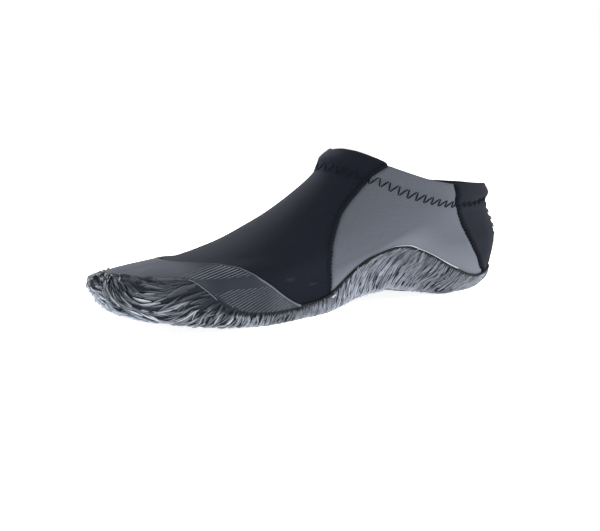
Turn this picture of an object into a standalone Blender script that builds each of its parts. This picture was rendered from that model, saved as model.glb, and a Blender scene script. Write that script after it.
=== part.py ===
"""Slip-on wetsuit bootie for a right foot, about EU 43.

A neoprene upper stands in a moulded rubber cup sole, with a thin toe cap glued on the vamp, a foam
insole inside and a raised seam up the heel. X points to the toe, Y to the inner side of the foot, Z up.
Tables and sizes are in millimetres, x runs from the heel, and a share is a share of the foot's length.
"""

import math

import bmesh
import bpy
import numpy as np

MM = 0.001

# Walls and gaps
NEOPRENE = 3.0
HEM_WALL = 4.6
HEM_CROWN = 1.2
SEAT_GAP = 0.4
SOLE_BED = 5.0
SOLE_WALL_LOW = 2.8
SOLE_WALL_RIM = 1.7
SOLE_CORNER = 2.4
CORNER_SETBACK = 0.3
TREAD_INSET = 4.0
HEEL_TUCK = 6.0
HEEL_TUCK_CORNER = 0.55
HEEL_TUCK_SHARES = (0.10, 0.30)
INSOLE = 3.0
INSOLE_GAP = 0.7
CAP_GAP = 0.65
CAP_THICKNESS = 0.9
CAP_LEAST_RISE = 2.0
SEAM_EDGE = 0.5
SEAM_CREST = 1.2

# Slanted ribs round the sole's side, and grooves between the bars of its tread
RIB_DEPTH = 0.7
RIB_STEP = 3
GROOVE_DEPTH = 2.0
GROOVE_STEP = 4
GROOVE_SHARES = (0.05, 0.93)

# Columns round the foot: the sole has two for each one of the upper
COLUMNS = 64
SOLE_COLUMNS = 2 * COLUMNS
ACROSS = 6

# Edges that turn more than this are shaded sharp
SHARP_TURN = math.radians(40)

# Half widths of the foot's plan outline, from its long axis
OUTLINE_FIELDS = ("share", "inner", "outer")
OUTLINE = (
    (0.000, 0.0, 0.0),
    (0.030, 17.5, 17.5),
    (0.080, 27.0, 27.0),
    (0.170, 32.5, 32.5),
    (0.300, 31.0, 35.0),
    (0.420, 30.0, 39.0),
    (0.550, 38.0, 44.0),
    (0.680, 46.0, 47.0),
    (0.780, 47.5, 45.5),
    (0.870, 44.0, 38.5),
    (0.940, 36.0, 26.0),
    (0.985, 23.0, 8.0),
    (1.000, 10.0, -10.0),
)

# Height of the sole's underside above the floor: flat at heel and ball, arched between, sprung at the toe
UNDERSIDE_FIELDS = ("share", "inner", "middle", "outer")
UNDERSIDE = (
    (0.000, 4.0, 4.0, 4.0),
    (0.040, 1.0, 1.0, 1.0),
    (0.080, 0.0, 0.0, 0.0),
    (0.160, 0.0, 0.0, 0.0),
    (0.250, 9.0, 2.0, 0.0),
    (0.330, 15.0, 5.0, 0.5),
    (0.410, 11.0, 3.5, 0.0),
    (0.470, 3.5, 1.0, 0.0),
    (0.520, 0.0, 0.0, 0.0),
    (0.640, 0.0, 0.0, 0.0),
    (0.760, 2.5, 2.5, 2.5),
    (0.880, 8.0, 8.0, 8.0),
    (1.000, 20.0, 20.0, 20.0),
)

# Level rings of the upper's outside, from the feather edge in the sole to the top of the collar.
# oval goes from the foot's outline (0) to a plain oval (1), follow adds the underside's height.
RING_FIELDS = ("level", "front_x", "back_x", "inner", "outer", "front_z", "inner_z", "outer_z", "back_z",
               "oval", "follow")
RINGS = (
    (0.0, 280.0, 9.5, 44.0, 44.5, 5.6, 5.6, 5.6, 5.6, 0.00, 1.0),
    (10.0, 284.0, 3.0, 46.0, 47.0, 12.0, 13.0, 13.0, 14.0, 0.00, 1.0),
    (26.0, 276.0, -1.0, 45.0, 46.0, 33.5, 27.0, 26.0, 33.0, 0.10, 0.2),
    (42.0, 229.0, 0.8, 38.5, 39.0, 42.5, 39.0, 38.0, 43.0, 0.50, 0.0),
    (58.0, 171.0, 2.4, 33.0, 34.0, 62.0, 52.0, 52.0, 49.5, 0.85, 0.0),
    (72.0, 130.0, 5.5, 30.5, 31.0, 87.5, 64.5, 66.0, 56.0, 1.00, 0.0),
    (78.0, 128.0, 1.6, 32.5, 33.0, 94.0, 69.5, 72.5, 62.0, 1.00, 0.0),
    (86.0, 119.5, 2.5, 32.0, 33.0, 100.5, 75.5, 78.5, 68.5, 1.00, 0.0),
)

# Ring level of the sole's rim: a bumper over the toe, low at the ball, high in the inner arch
RIM_FIELDS = ("share", "inner", "outer")
RIM = (
    (0.00, 5.0, 5.0),
    (0.08, 5.0, 5.0),
    (0.12, 7.0, 5.5),
    (0.17, 12.5, 6.0),
    (0.22, 19.0, 7.0),
    (0.28, 28.0, 8.0),
    (0.34, 34.5, 9.0),
    (0.38, 35.5, 9.0),
    (0.41, 32.0, 8.5),
    (0.45, 18.0, 8.0),
    (0.50, 8.5, 7.0),
    (0.56, 4.5, 6.0),
    (0.64, 3.5, 5.0),
    (0.70, 4.0, 5.0),
    (0.74, 6.5, 6.0),
    (0.78, 13.0, 11.5),
    (0.82, 20.5, 19.0),
    (0.87, 26.5, 25.0),
    (1.00, 26.5, 26.5),
)

# Ring level of the toe cap's upper edge, from where it leaves the sole's rim to the ridge of the vamp
CAP_FIELDS = ("share", "inner", "outer")
CAP_EDGE = (
    (0.00, 5.0, 5.0),
    (0.58, 5.0, 6.0),
    (0.63, 14.0, 14.0),
    (0.68, 22.5, 22.5),
    (0.74, 30.0, 30.0),
    (0.82, 35.0, 35.0),
    (0.90, 37.5, 37.5),
    (1.00, 38.5, 38.5),
)
CAP_START_SHARE = 0.585

# Rows of the walls, as ring levels and as shares of the sole's rim level
UPPER_LEVELS = (0.0, 5.0, 10.0, 15.0, 20.0, 26.0, 32.0, 37.0, 42.0, 47.0, 52.0, 58.0, 65.0, 70.0, 72.0,
                74.5, 78.0, 82.0, 86.0)
LINING_LEVELS = (0.0, 10.0, 20.0, 30.0, 42.0, 52.0, 62.0, 72.0, 76.0, 86.0)
SOLE_ROWS = (0.0, 0.18, 0.36, 0.54, 0.72, 0.9, 1.0)
SOLE_INNER_ROWS = (1.0, 0.84, 0.68, 0.52, 0.38, 0.25, 0.12, 0.0)
CAP_ROWS = 9
SEAM_ROWS = 10
FEATHER_LEVEL = 6.0
HEM_LEVEL = 72.0
TOP_LEVEL = 86.0

COLOURS = {
    "upper": (0.020, 0.021, 0.026, 0.75),
    "outsole": (0.055, 0.057, 0.063, 0.55),
    "toe_cap": (0.075, 0.078, 0.085, 0.6),
    "insole": (0.30, 0.30, 0.31, 0.8),
    "heel_seam": (0.014, 0.014, 0.018, 0.7),
}


def field(table, fields, name):
    """One named column of a table."""
    return np.array([row[fields.index(name)] for row in table])


def smooth(knots, values, at):
    """Smooth curves through rows of values at rising knots, with no overshoot between the rows."""
    step = np.diff(knots)
    rise = np.diff(values, axis=0) / step.reshape((-1,) + (1,) * (values.ndim - 1))
    both = rise[:-1] + rise[1:]
    same_way = rise[:-1] * rise[1:] > 0
    slope = np.concatenate([rise[:1], np.zeros_like(rise[1:]), rise[-1:]])
    slope[1:-1][same_way] = 2 * (rise[:-1] * rise[1:])[same_way] / both[same_way]
    row = np.clip(np.searchsorted(knots, at, side="right") - 1, 0, len(knots) - 2)
    point = np.arange(len(at))
    tail = (-1,) + (1,) * (values.ndim - 2)
    span = step[row].reshape(tail)
    t = ((at - knots[row]) / step[row]).reshape(tail)
    start = values[row, point] * (2 * t**3 - 3 * t**2 + 1) + slope[row, point] * span * (t**3 - 2 * t**2 + t)
    end = values[row + 1, point] * (3 * t**2 - 2 * t**3) + slope[row + 1, point] * span * (t**3 - t**2)
    return start + end


def by_share(table, fields, name, share):
    """A column of a table at given shares of the foot's length, round at the heel and toe ends."""
    knots = np.arccos(1 - 2 * field(table, fields, "share"))
    values = np.repeat(field(table, fields, name)[:, None], len(share), axis=1)
    return smooth(knots, values, np.arccos(np.clip(1 - 2 * share, -1, 1)))


def round_the_foot(table, fields, theta):
    """Inner column of a table on the inner side and outer column on the outer side."""
    share = (1 + np.cos(theta)) / 2
    inner_side = np.sin(theta) >= 0
    return np.where(inner_side, by_share(table, fields, "inner", share),
                    by_share(table, fields, "outer", share))


def underside(x, y):
    """Height of the sole's underside at points of the plan."""
    feather = dict(zip(RING_FIELDS, RINGS[0]))
    share = np.clip((x - feather["back_x"]) / (feather["front_x"] - feather["back_x"]), 0, 1)
    inner, middle, outer = (by_share(UNDERSIDE, UNDERSIDE_FIELDS, name, share)
                            for name in ("inner", "middle", "outer"))
    side = np.clip(y / feather["inner"], -1, 1)
    edge = np.where(side > 0, inner, outer)
    return middle + (edge - middle) * side**2


def ring_points(theta):
    """Points of every ring at the given angles: 0 at the toe, a half turn at the heel, inner side first."""
    inner_side = np.sin(theta) >= 0
    plan = round_the_foot(OUTLINE, OUTLINE_FIELDS, theta)
    widest = np.where(inner_side, field(OUTLINE, OUTLINE_FIELDS, "inner").max(),
                      field(OUTLINE, OUTLINE_FIELDS, "outer").max())
    rings = []
    for row in RINGS:
        ring = dict(zip(RING_FIELDS, row))
        x = ring["back_x"] + (ring["front_x"] - ring["back_x"]) * (1 + np.cos(theta)) / 2
        half = np.where(inner_side, ring["inner"], ring["outer"])
        foot = np.where(inner_side, 1, -1) * plan / widest * half
        y = (1 - ring["oval"]) * foot + ring["oval"] * half * np.sin(theta)
        side_z = np.where(inner_side, ring["inner_z"], ring["outer_z"])
        ahead = np.cos(theta)
        z = (ring["front_z"] * (ahead**2 + ahead) / 2 + ring["back_z"] * (ahead**2 - ahead) / 2
             + side_z * np.sin(theta)**2 + ring["follow"] * underside(x, y))
        rings.append(np.stack([x, y, z], axis=-1))
    return np.array(rings)


def last_surface(level, theta):
    """Points of the upper's outside at ring levels and angles."""
    return smooth(field(RINGS, RING_FIELDS, "level"), ring_points(theta), level)


def last_normal(level, theta):
    """Outward directions of the upper's outside, level at the feather edge."""
    turn = 0.01
    lift = 0.4
    low = np.clip(level - lift, 0, TOP_LEVEL)
    high = np.clip(level + lift, 0, TOP_LEVEL)
    around = last_surface(level, theta + turn) - last_surface(level, theta - turn)
    upward = last_surface(high, theta) - last_surface(low, theta)
    normal = np.cross(around, upward)
    normal[:, 2] *= np.clip(level / FEATHER_LEVEL, 0, 1)
    return normal / np.linalg.norm(normal, axis=1, keepdims=True)


def wall(level, theta, offset):
    """Points at a distance from the upper's outside, positive outwards."""
    level = np.broadcast_to(level, theta.shape).astype(float)
    offset = np.broadcast_to(offset, theta.shape)
    return last_surface(level, theta) + last_normal(level, theta) * offset[:, None]


def rim_level(theta):
    """Ring level of the sole's rim."""
    return round_the_foot(RIM, RIM_FIELDS, theta)


def heel_tuck(theta):
    """How far the sole's lower edge draws in round the heel."""
    low, high = HEEL_TUCK_SHARES
    t = np.clip(((1 + np.cos(theta)) / 2 - low) / (high - low), 0, 1)
    return HEEL_TUCK * (1 - t * t * (3 - 2 * t))


def angles(count):
    """Evenly spaced angles round the foot, from the toe."""
    return np.arange(count) * 2 * math.pi / count


def on_chords(row):
    """Rows of the sole that face the upper: every second point halfway along the upper's own facet."""
    halved = row.copy()
    halved[1::2] = (row[0::2] + np.roll(row, -2, axis=0)[0::2]) / 2
    return halved


class Shell:
    """Collects points and faces in millimetres and turns them into one closed object."""

    def __init__(self):
        self.points = []
        self.faces = []

    def add(self, points):
        """Adds a row of points and returns their numbers."""
        start = len(self.points)
        self.points.extend(points)
        return list(range(start, start + len(points)))

    def band(self, low, high, closed=True):
        """Faces between two rows of points."""
        count = len(low) if closed else len(low) - 1
        for i in range(count):
            j = (i + 1) % len(low)
            self.faces.append((low[i], low[j], high[j], high[i]))

    def rows(self, rows, closed=True):
        """Faces between each row and the next."""
        for low, high in zip(rows[:-1], rows[1:]):
            self.band(low, high, closed)

    def floor(self, rim, height):
        """Closes a ring of points from side to side, at a height given for each point inside it."""
        count = len(rim)
        lines = []
        for i in range(1, count // 2):
            start, end = self.points[rim[i]], self.points[rim[count - i]]
            inside = []
            for k in range(1, ACROSS):
                x, y, _ = start + (end - start) * k / ACROSS
                inside.append(np.array([x, y, height(x, y, i)]))
            lines.append([rim[i]] + self.add(inside) + [rim[count - i]])
        self.rows(lines, closed=False)
        for tip, line in ((rim[0], lines[0]), (rim[count // 2], lines[-1])):
            for a, b in zip(line[:-1], line[1:]):
                self.faces.append((tip, a, b))

    def make(self, name, centre):
        """The object, moved so that the bootie stands on its origin, with its faces pointing outwards."""
        mesh = bpy.data.meshes.new(name)
        points = (np.array(self.points) - centre) * MM
        mesh.from_pydata(points.tolist(), [], self.faces)
        work = bmesh.new()
        work.from_mesh(mesh)
        bmesh.ops.triangulate(work, faces=work.faces)
        bmesh.ops.recalc_face_normals(work, faces=work.faces)
        work.to_mesh(mesh)
        work.free()
        mesh.shade_smooth()
        mesh.set_sharp_from_angle(angle=SHARP_TURN)
        mesh.materials.append(material(name))
        bpy.context.collection.objects.link(bpy.data.objects.new(name, mesh))


def material(name):
    """Plain material of a piece."""
    red, green, blue, roughness = COLOURS[name]
    made = bpy.data.materials.new(name)
    made.use_nodes = True
    shader = made.node_tree.nodes["Principled BSDF"]
    shader.inputs["Base Color"].default_value = (red, green, blue, 1)
    shader.inputs["Roughness"].default_value = roughness
    shader.inputs["Metallic"].default_value = 0
    return made


def upper():
    """Hollow neoprene wall, thicker where the collar is folded into its hem, open above and below."""
    shell = Shell()
    theta = angles(COLUMNS)
    outside = [shell.add(wall(level, theta, 0)) for level in UPPER_LEVELS]
    crown = wall(TOP_LEVEL, theta, -HEM_WALL / 2)
    crown[:, 2] += HEM_CROWN
    inside = []
    for level in reversed(LINING_LEVELS):
        thickness = HEM_WALL if level > HEM_LEVEL else NEOPRENE
        row = wall(level, theta, -thickness)
        if level == 0:
            row[:, 2] = underside(row[:, 0], row[:, 1]) + SOLE_BED + INSOLE_GAP
        inside.append(shell.add(row))
    shell.rows(outside + [shell.add(crown)] + inside + [outside[0]])
    return shell


def outsole():
    """Rubber cup: barred tread, rounded corner, ribbed side up to the rim, bed inside."""
    shell = Shell()
    theta = angles(SOLE_COLUMNS)
    rim = rim_level(theta)
    column = np.arange(SOLE_COLUMNS)

    tuck = heel_tuck(theta)
    tread = wall(0, theta, -TREAD_INSET - tuck)
    tread[:, 2] = underside(tread[:, 0], tread[:, 1])
    corner = wall(0, theta, SOLE_WALL_LOW - CORNER_SETBACK - tuck * HEEL_TUCK_CORNER)
    corner[:, 2] = underside(corner[:, 0], corner[:, 1]) + SOLE_CORNER
    rows = [shell.add(tread), shell.add(corner)]
    for number, share in enumerate(SOLE_ROWS):
        thickness = SOLE_WALL_LOW + (SOLE_WALL_RIM - SOLE_WALL_LOW) * share
        if 0 < number < len(SOLE_ROWS) - 1:
            thickness = thickness - RIB_DEPTH * ((column + number) % RIB_STEP == 0)
        rows.append(shell.add(wall(rim * share, theta, thickness)))
    for share in SOLE_INNER_ROWS:
        rows.append(shell.add(on_chords(wall(rim * share, theta, SEAT_GAP))))
    bed = on_chords(wall(0, theta, SEAT_GAP))
    bed[:, 2] = underside(bed[:, 0], bed[:, 1]) + SOLE_BED
    rows.append(shell.add(bed))
    shell.rows(rows)

    def tread_height(x, y, station):
        share = (1 + math.cos(theta[station])) / 2
        grooved = station % GROOVE_STEP == 0 and GROOVE_SHARES[0] < share < GROOVE_SHARES[1]
        low = underside(np.array([x]), np.array([y]))[0]
        return low + (GROOVE_DEPTH if grooved else 0)

    def bed_height(x, y, station):
        return underside(np.array([x]), np.array([y]))[0] + SOLE_BED

    shell.floor(rows[0], tread_height)
    shell.floor(rows[-1], bed_height)
    return shell


def insole():
    """Foam sheet on the sole's bed, inside the upper's wall."""
    shell = Shell()
    theta = angles(COLUMNS)
    low = wall(0, theta, -NEOPRENE - SEAT_GAP)
    low[:, 2] = underside(low[:, 0], low[:, 1]) + SOLE_BED + INSOLE_GAP
    high = low + np.array([0, 0, INSOLE])
    rows = [shell.add(low), shell.add(high)]
    shell.rows(rows)

    def face(lift):
        return lambda x, y, station: underside(np.array([x]), np.array([y]))[0] + lift

    shell.floor(rows[0], face(SOLE_BED + INSOLE_GAP))
    shell.floor(rows[1], face(SOLE_BED + INSOLE_GAP + INSOLE))
    return shell


def sheet(outside, inside):
    """Closed thin sheet between two grids of points."""
    shell = Shell()
    out_rows = [shell.add(row) for row in outside]
    in_rows = [shell.add(row) for row in inside]
    shell.rows(out_rows, closed=False)
    shell.rows(in_rows, closed=False)
    shell.band(out_rows[0], in_rows[0], closed=False)
    shell.band(out_rows[-1], in_rows[-1], closed=False)
    shell.band([row[0] for row in out_rows], [row[0] for row in in_rows], closed=False)
    shell.band([row[-1] for row in out_rows], [row[-1] for row in in_rows], closed=False)
    return shell


def toe_cap():
    """Thin overlay on the vamp, from the sole's rim back to a curved edge across the toes."""
    step = 2 * math.pi / COLUMNS
    reach = int(math.acos(2 * CAP_START_SHARE - 1) / step)
    theta = np.arange(-reach, reach + 1) * step
    low = rim_level(theta) + SEAT_GAP
    high = np.maximum(round_the_foot(CAP_EDGE, CAP_FIELDS, theta), low + CAP_LEAST_RISE)
    levels = [low + (high - low) * i / CAP_ROWS for i in range(CAP_ROWS + 1)]
    outside = [wall(level, theta, CAP_GAP + CAP_THICKNESS) for level in levels]
    inside = [wall(level, theta, CAP_GAP) for level in levels]
    return sheet(outside, inside)


def heel_seam():
    """Raised seam up the middle of the heel, from the sole's rim to the hem's stitch line."""
    step = 2 * math.pi / COLUMNS
    theta = math.pi + np.array([-step, 0, step])
    low = rim_level(theta) + SEAT_GAP
    levels = [low + (HEM_LEVEL - low) * i / SEAM_ROWS for i in range(SEAM_ROWS + 1)]
    ridge = np.array([SEAM_EDGE, SEAM_CREST, SEAM_EDGE])
    outside = [wall(level, theta, SEAT_GAP + ridge) for level in levels]
    inside = [wall(level, theta, SEAT_GAP) for level in levels]
    return sheet(outside, inside)


for old in list(bpy.data.objects):
    bpy.data.objects.remove(old)

pieces = {
    "outsole": outsole(),
    "upper": upper(),
    "insole": insole(),
    "toe_cap": toe_cap(),
    "heel_seam": heel_seam(),
}
corners = np.concatenate([np.array(shell.points) for shell in pieces.values()])
middle = (corners.min(axis=0) + corners.max(axis=0)) / 2
middle[2] = corners[:, 2].min()
for piece_name, shell in pieces.items():
    shell.make(piece_name, middle)
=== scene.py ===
# %% [markdown]
# # A slip-on wetsuit bootie for the right foot
#
# The real bootie is four neoprene panels sewn edge to edge, with a hem folded over at the collar. A cup of
# moulded rubber is glued round the foot, covered in strands like flattened grass, and a thin ribbed guard
# sits over the toes. The lesson starts from the solid part, which fixes every size, and dresses it.

# %% Load the solid part
import math

import bpy
import numpy as np
from mathutils import Matrix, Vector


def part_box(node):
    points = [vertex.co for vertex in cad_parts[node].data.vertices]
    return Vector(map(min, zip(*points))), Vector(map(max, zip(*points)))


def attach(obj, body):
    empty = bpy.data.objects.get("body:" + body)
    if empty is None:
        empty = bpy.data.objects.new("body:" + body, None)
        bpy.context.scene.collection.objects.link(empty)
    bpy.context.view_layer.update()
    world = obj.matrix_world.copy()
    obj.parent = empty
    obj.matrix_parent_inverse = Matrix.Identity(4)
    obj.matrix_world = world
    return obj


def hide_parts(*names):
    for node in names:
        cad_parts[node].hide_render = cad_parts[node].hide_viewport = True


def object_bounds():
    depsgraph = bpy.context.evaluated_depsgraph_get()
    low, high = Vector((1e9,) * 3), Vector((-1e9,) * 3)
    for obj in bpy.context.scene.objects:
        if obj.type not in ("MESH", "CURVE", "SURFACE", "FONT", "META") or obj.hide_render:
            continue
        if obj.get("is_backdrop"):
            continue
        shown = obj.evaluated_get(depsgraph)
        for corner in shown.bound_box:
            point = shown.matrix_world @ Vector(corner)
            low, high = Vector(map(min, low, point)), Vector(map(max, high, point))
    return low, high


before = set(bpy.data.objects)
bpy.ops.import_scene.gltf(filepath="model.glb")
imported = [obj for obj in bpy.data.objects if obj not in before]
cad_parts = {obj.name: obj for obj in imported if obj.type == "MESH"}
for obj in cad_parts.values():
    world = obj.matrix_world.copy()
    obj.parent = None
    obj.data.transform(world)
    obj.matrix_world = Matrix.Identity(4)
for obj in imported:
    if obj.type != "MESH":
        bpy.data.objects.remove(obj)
solid_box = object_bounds()
MM = 0.001
print("solid pieces:", ", ".join(sorted(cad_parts)))

# %% [markdown]
# ## The foot's form
#
# Every panel, sole wall and stitch follows one surface: the outside of the neoprene on the last. It could be
# read from the solid's triangles, but those are coarse. The short tables that shaped the solid give the
# surface at any fineness, so they are repeated here, in millimetres from the heel.

# %% Tables of the last
OUTLINE_FIELDS = ("share", "inner", "outer")
OUTLINE = (
    (0.000, 0.0, 0.0),
    (0.030, 17.5, 17.5),
    (0.080, 27.0, 27.0),
    (0.170, 32.5, 32.5),
    (0.300, 31.0, 35.0),
    (0.420, 30.0, 39.0),
    (0.550, 38.0, 44.0),
    (0.680, 46.0, 47.0),
    (0.780, 47.5, 45.5),
    (0.870, 44.0, 38.5),
    (0.940, 36.0, 26.0),
    (0.985, 23.0, 8.0),
    (1.000, 10.0, -10.0),
)
UNDERSIDE_FIELDS = ("share", "inner", "middle", "outer")
UNDERSIDE = (
    (0.000, 4.0, 4.0, 4.0),
    (0.040, 1.0, 1.0, 1.0),
    (0.080, 0.0, 0.0, 0.0),
    (0.160, 0.0, 0.0, 0.0),
    (0.250, 9.0, 2.0, 0.0),
    (0.330, 15.0, 5.0, 0.5),
    (0.410, 11.0, 3.5, 0.0),
    (0.470, 3.5, 1.0, 0.0),
    (0.520, 0.0, 0.0, 0.0),
    (0.640, 0.0, 0.0, 0.0),
    (0.760, 2.5, 2.5, 2.5),
    (0.880, 8.0, 8.0, 8.0),
    (1.000, 20.0, 20.0, 20.0),
)
RING_FIELDS = ("level", "front_x", "back_x", "inner", "outer", "front_z", "inner_z", "outer_z", "back_z",
               "oval", "follow")
RINGS = (
    (0.0, 280.0, 9.5, 44.0, 44.5, 5.6, 5.6, 5.6, 5.6, 0.00, 1.0),
    (10.0, 284.0, 3.0, 46.0, 47.0, 12.0, 13.0, 13.0, 14.0, 0.00, 1.0),
    (26.0, 276.0, -1.0, 45.0, 46.0, 33.5, 27.0, 26.0, 33.0, 0.10, 0.2),
    (42.0, 229.0, 0.8, 38.5, 39.0, 42.5, 39.0, 38.0, 43.0, 0.50, 0.0),
    (58.0, 171.0, 2.4, 33.0, 34.0, 62.0, 52.0, 52.0, 49.5, 0.85, 0.0),
    (72.0, 130.0, 5.5, 30.5, 31.0, 87.5, 64.5, 66.0, 56.0, 1.00, 0.0),
    (78.0, 128.0, 1.6, 32.5, 33.0, 94.0, 69.5, 72.5, 62.0, 1.00, 0.0),
    (86.0, 119.5, 2.5, 32.0, 33.0, 100.5, 75.5, 78.5, 68.5, 1.00, 0.0),
)
RIM_FIELDS = ("share", "inner", "outer")
RIM = (
    (0.00, 5.0, 5.0),
    (0.08, 5.0, 5.0),
    (0.12, 7.0, 5.5),
    (0.17, 12.5, 6.0),
    (0.22, 19.0, 7.0),
    (0.28, 28.0, 8.0),
    (0.34, 34.5, 9.0),
    (0.38, 35.5, 9.0),
    (0.41, 32.0, 8.5),
    (0.45, 18.0, 8.0),
    (0.50, 8.5, 7.0),
    (0.56, 4.5, 6.0),
    (0.64, 3.5, 5.0),
    (0.70, 4.0, 5.0),
    (0.74, 6.5, 6.0),
    (0.78, 13.0, 11.5),
    (0.82, 20.5, 19.0),
    (0.87, 26.5, 25.0),
    (1.00, 26.5, 26.5),
)
FEATHER_LEVEL = 6.0
HEM_LEVEL = 72.0
TOP_LEVEL = 86.0
FULL_TURN = 2 * math.pi
FEATHER = dict(zip(RING_FIELDS, RINGS[0]))
FEATHER_LENGTH = FEATHER["front_x"] - FEATHER["back_x"]
print("rings of the last:", len(RINGS))


# %% Smooth curves through the tables
def field(table, fields, name):
    """One named column of a table."""
    return np.array([row[fields.index(name)] for row in table])


def smooth(knots, values, at):
    """Smooth curves through rows of values at rising knots, with no overshoot between the rows."""
    step = np.diff(knots)
    rise = np.diff(values, axis=0) / step.reshape((-1,) + (1,) * (values.ndim - 1))
    both = rise[:-1] + rise[1:]
    same_way = rise[:-1] * rise[1:] > 0
    slope = np.concatenate([rise[:1], np.zeros_like(rise[1:]), rise[-1:]])
    slope[1:-1][same_way] = 2 * (rise[:-1] * rise[1:])[same_way] / both[same_way]
    row = np.clip(np.searchsorted(knots, at, side="right") - 1, 0, len(knots) - 2)
    point = np.arange(len(at))
    tail = (-1,) + (1,) * (values.ndim - 2)
    span = step[row].reshape(tail)
    t = ((at - knots[row]) / step[row]).reshape(tail)
    start = values[row, point] * (2 * t**3 - 3 * t**2 + 1) + slope[row, point] * span * (t**3 - 2 * t**2 + t)
    end = values[row + 1, point] * (3 * t**2 - 2 * t**3) + slope[row + 1, point] * span * (t**3 - t**2)
    return start + end


def column(table, fields, name, key, at):
    """A column of a table at given values of its key column."""
    at = np.clip(np.asarray(at, float), *field(table, fields, key)[[0, -1]])
    values = np.repeat(field(table, fields, name)[:, None], at.size, axis=1)
    return smooth(field(table, fields, key), values, at.ravel()).reshape(at.shape)


def by_share(table, fields, name, share):
    """A column of a table at given shares of the foot's length, round at the heel and toe ends."""
    knots = np.arccos(1 - 2 * field(table, fields, "share"))
    values = np.repeat(field(table, fields, name)[:, None], len(share), axis=1)
    return smooth(knots, values, np.arccos(np.clip(1 - 2 * share, -1, 1)))


def foot_share(theta):
    """Share of the foot's length, from the heel, at angles round it."""
    return (1 + np.cos(theta)) / 2


def round_the_foot(table, fields, theta):
    """Inner column of a table on the inner side and outer column on the outer side."""
    share = foot_share(theta)
    return np.where(np.sin(theta) >= 0, by_share(table, fields, "inner", share),
                    by_share(table, fields, "outer", share))


print("widest half of the outline, mm:", field(OUTLINE, OUTLINE_FIELDS, "inner").max())


# %% The surface of the last
def plan_share(x):
    """Share of the sole's length at places along the foot."""
    return np.clip((x - FEATHER["back_x"]) / FEATHER_LENGTH, 0, 1)


def underside(x, y):
    """Height of the sole's underside at points of the plan."""
    share = plan_share(x)
    inner, middle, outer = (by_share(UNDERSIDE, UNDERSIDE_FIELDS, name, share)
                            for name in ("inner", "middle", "outer"))
    side = np.clip(y / FEATHER["inner"], -1, 1)
    edge = np.where(side > 0, inner, outer)
    return middle + (edge - middle) * side**2


def ring_points(theta):
    """Points of every ring at the given angles: 0 at the toe, a half turn at the heel, inner side first."""
    inner_side = np.sin(theta) >= 0
    plan = round_the_foot(OUTLINE, OUTLINE_FIELDS, theta)
    widest = np.where(inner_side, field(OUTLINE, OUTLINE_FIELDS, "inner").max(),
                      field(OUTLINE, OUTLINE_FIELDS, "outer").max())
    rings = []
    for row in RINGS:
        ring = dict(zip(RING_FIELDS, row))
        x = ring["back_x"] + (ring["front_x"] - ring["back_x"]) * foot_share(theta)
        half = np.where(inner_side, ring["inner"], ring["outer"])
        foot = np.where(inner_side, 1, -1) * plan / widest * half
        y = (1 - ring["oval"]) * foot + ring["oval"] * half * np.sin(theta)
        side_z = np.where(inner_side, ring["inner_z"], ring["outer_z"])
        ahead = np.cos(theta)
        z = (ring["front_z"] * (ahead**2 + ahead) / 2 + ring["back_z"] * (ahead**2 - ahead) / 2
             + side_z * np.sin(theta)**2)
        if ring["follow"]:
            z += ring["follow"] * underside(x, y)
        rings.append(np.stack([x, y, z], axis=-1))
    return np.array(rings)


def last_surface(level, theta):
    """Points of the upper's outside at ring levels and angles."""
    return smooth(field(RINGS, RING_FIELDS, "level"), ring_points(theta), level)


def unit(vectors):
    """The same directions at length one."""
    return vectors / np.linalg.norm(vectors, axis=-1, keepdims=True)


def wall(level, theta, offset):
    """Points at a distance from the upper's outside, positive outwards, for arrays of any one shape."""
    level, theta, offset = np.broadcast_arrays(*(np.asarray(a, float) for a in (level, theta, offset)))
    shape = theta.shape
    level, theta, offset = level.ravel(), theta.ravel(), offset.ravel()
    turn = 0.01
    lift = 0.4
    around = last_surface(level, theta + turn) - last_surface(level, theta - turn)
    upward = (last_surface(np.clip(level + lift, 0, TOP_LEVEL), theta)
              - last_surface(np.clip(level - lift, 0, TOP_LEVEL), theta))
    normal = np.cross(around, upward)
    normal[:, 2] *= np.clip(level / FEATHER_LEVEL, 0, 1)
    points = last_surface(level, theta) + unit(normal) * offset[:, None]
    return points.reshape(shape + (3,))


def rim_level(theta):
    """Ring level of the sole's rim."""
    return round_the_foot(RIM, RIM_FIELDS, np.ravel(theta)).reshape(np.shape(theta))


print("rim's level at the toe:", round(float(rim_level(0.0)), 1))


# %% Where the tables lie in the frame
def heel_in_frame():
    """The frame's origin in millimetres from the heel, from the solid upper's box and the widest rings."""
    theta = np.linspace(0, FULL_TURN, 721)
    rings = ring_points(theta).reshape(-1, 3)
    low, high = (np.array(corner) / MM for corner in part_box("upper"))
    across = (rings[:, 1].min() + rings[:, 1].max() - low[1] - high[1]) / 2
    return np.array([rings[:, 0].min() - low[0], across, 0.0])


HEEL_SHIFT = heel_in_frame()


def to_frame(points):
    """Millimetres from the heel to metres in the frame."""
    return (np.asarray(points) - HEEL_SHIFT) * MM


print("frame's origin from the heel, mm:", np.round(HEEL_SHIFT, 2))

# %% [markdown]
# ## Camera, floor and light
#
# The bootie is seen from the front of its inner side, a little above the floor, with a long lens and a slight
# roll. The camera's axes are worked out from those angles, because a tracking constraint can't hold a roll.
# A white floor, a white sky and broad lamps give the shadowless light of a studio tent, which also lights
# the sole from below.

# %% Camera
IMAGE_WIDTH = 600
IMAGE_HEIGHT = 531
SENSOR_WIDTH = 36.0
AZIMUTH = math.radians(154.0)
ELEVATION = math.radians(7.5)
ROLL = math.radians(-3.5)
DISTANCE = 610.0
PIXELS_PER_MM = 1.56
AIM = np.array([140.0, 0.0, 45.0])
AIM_PIXEL = (309.3, 236.5)


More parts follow.
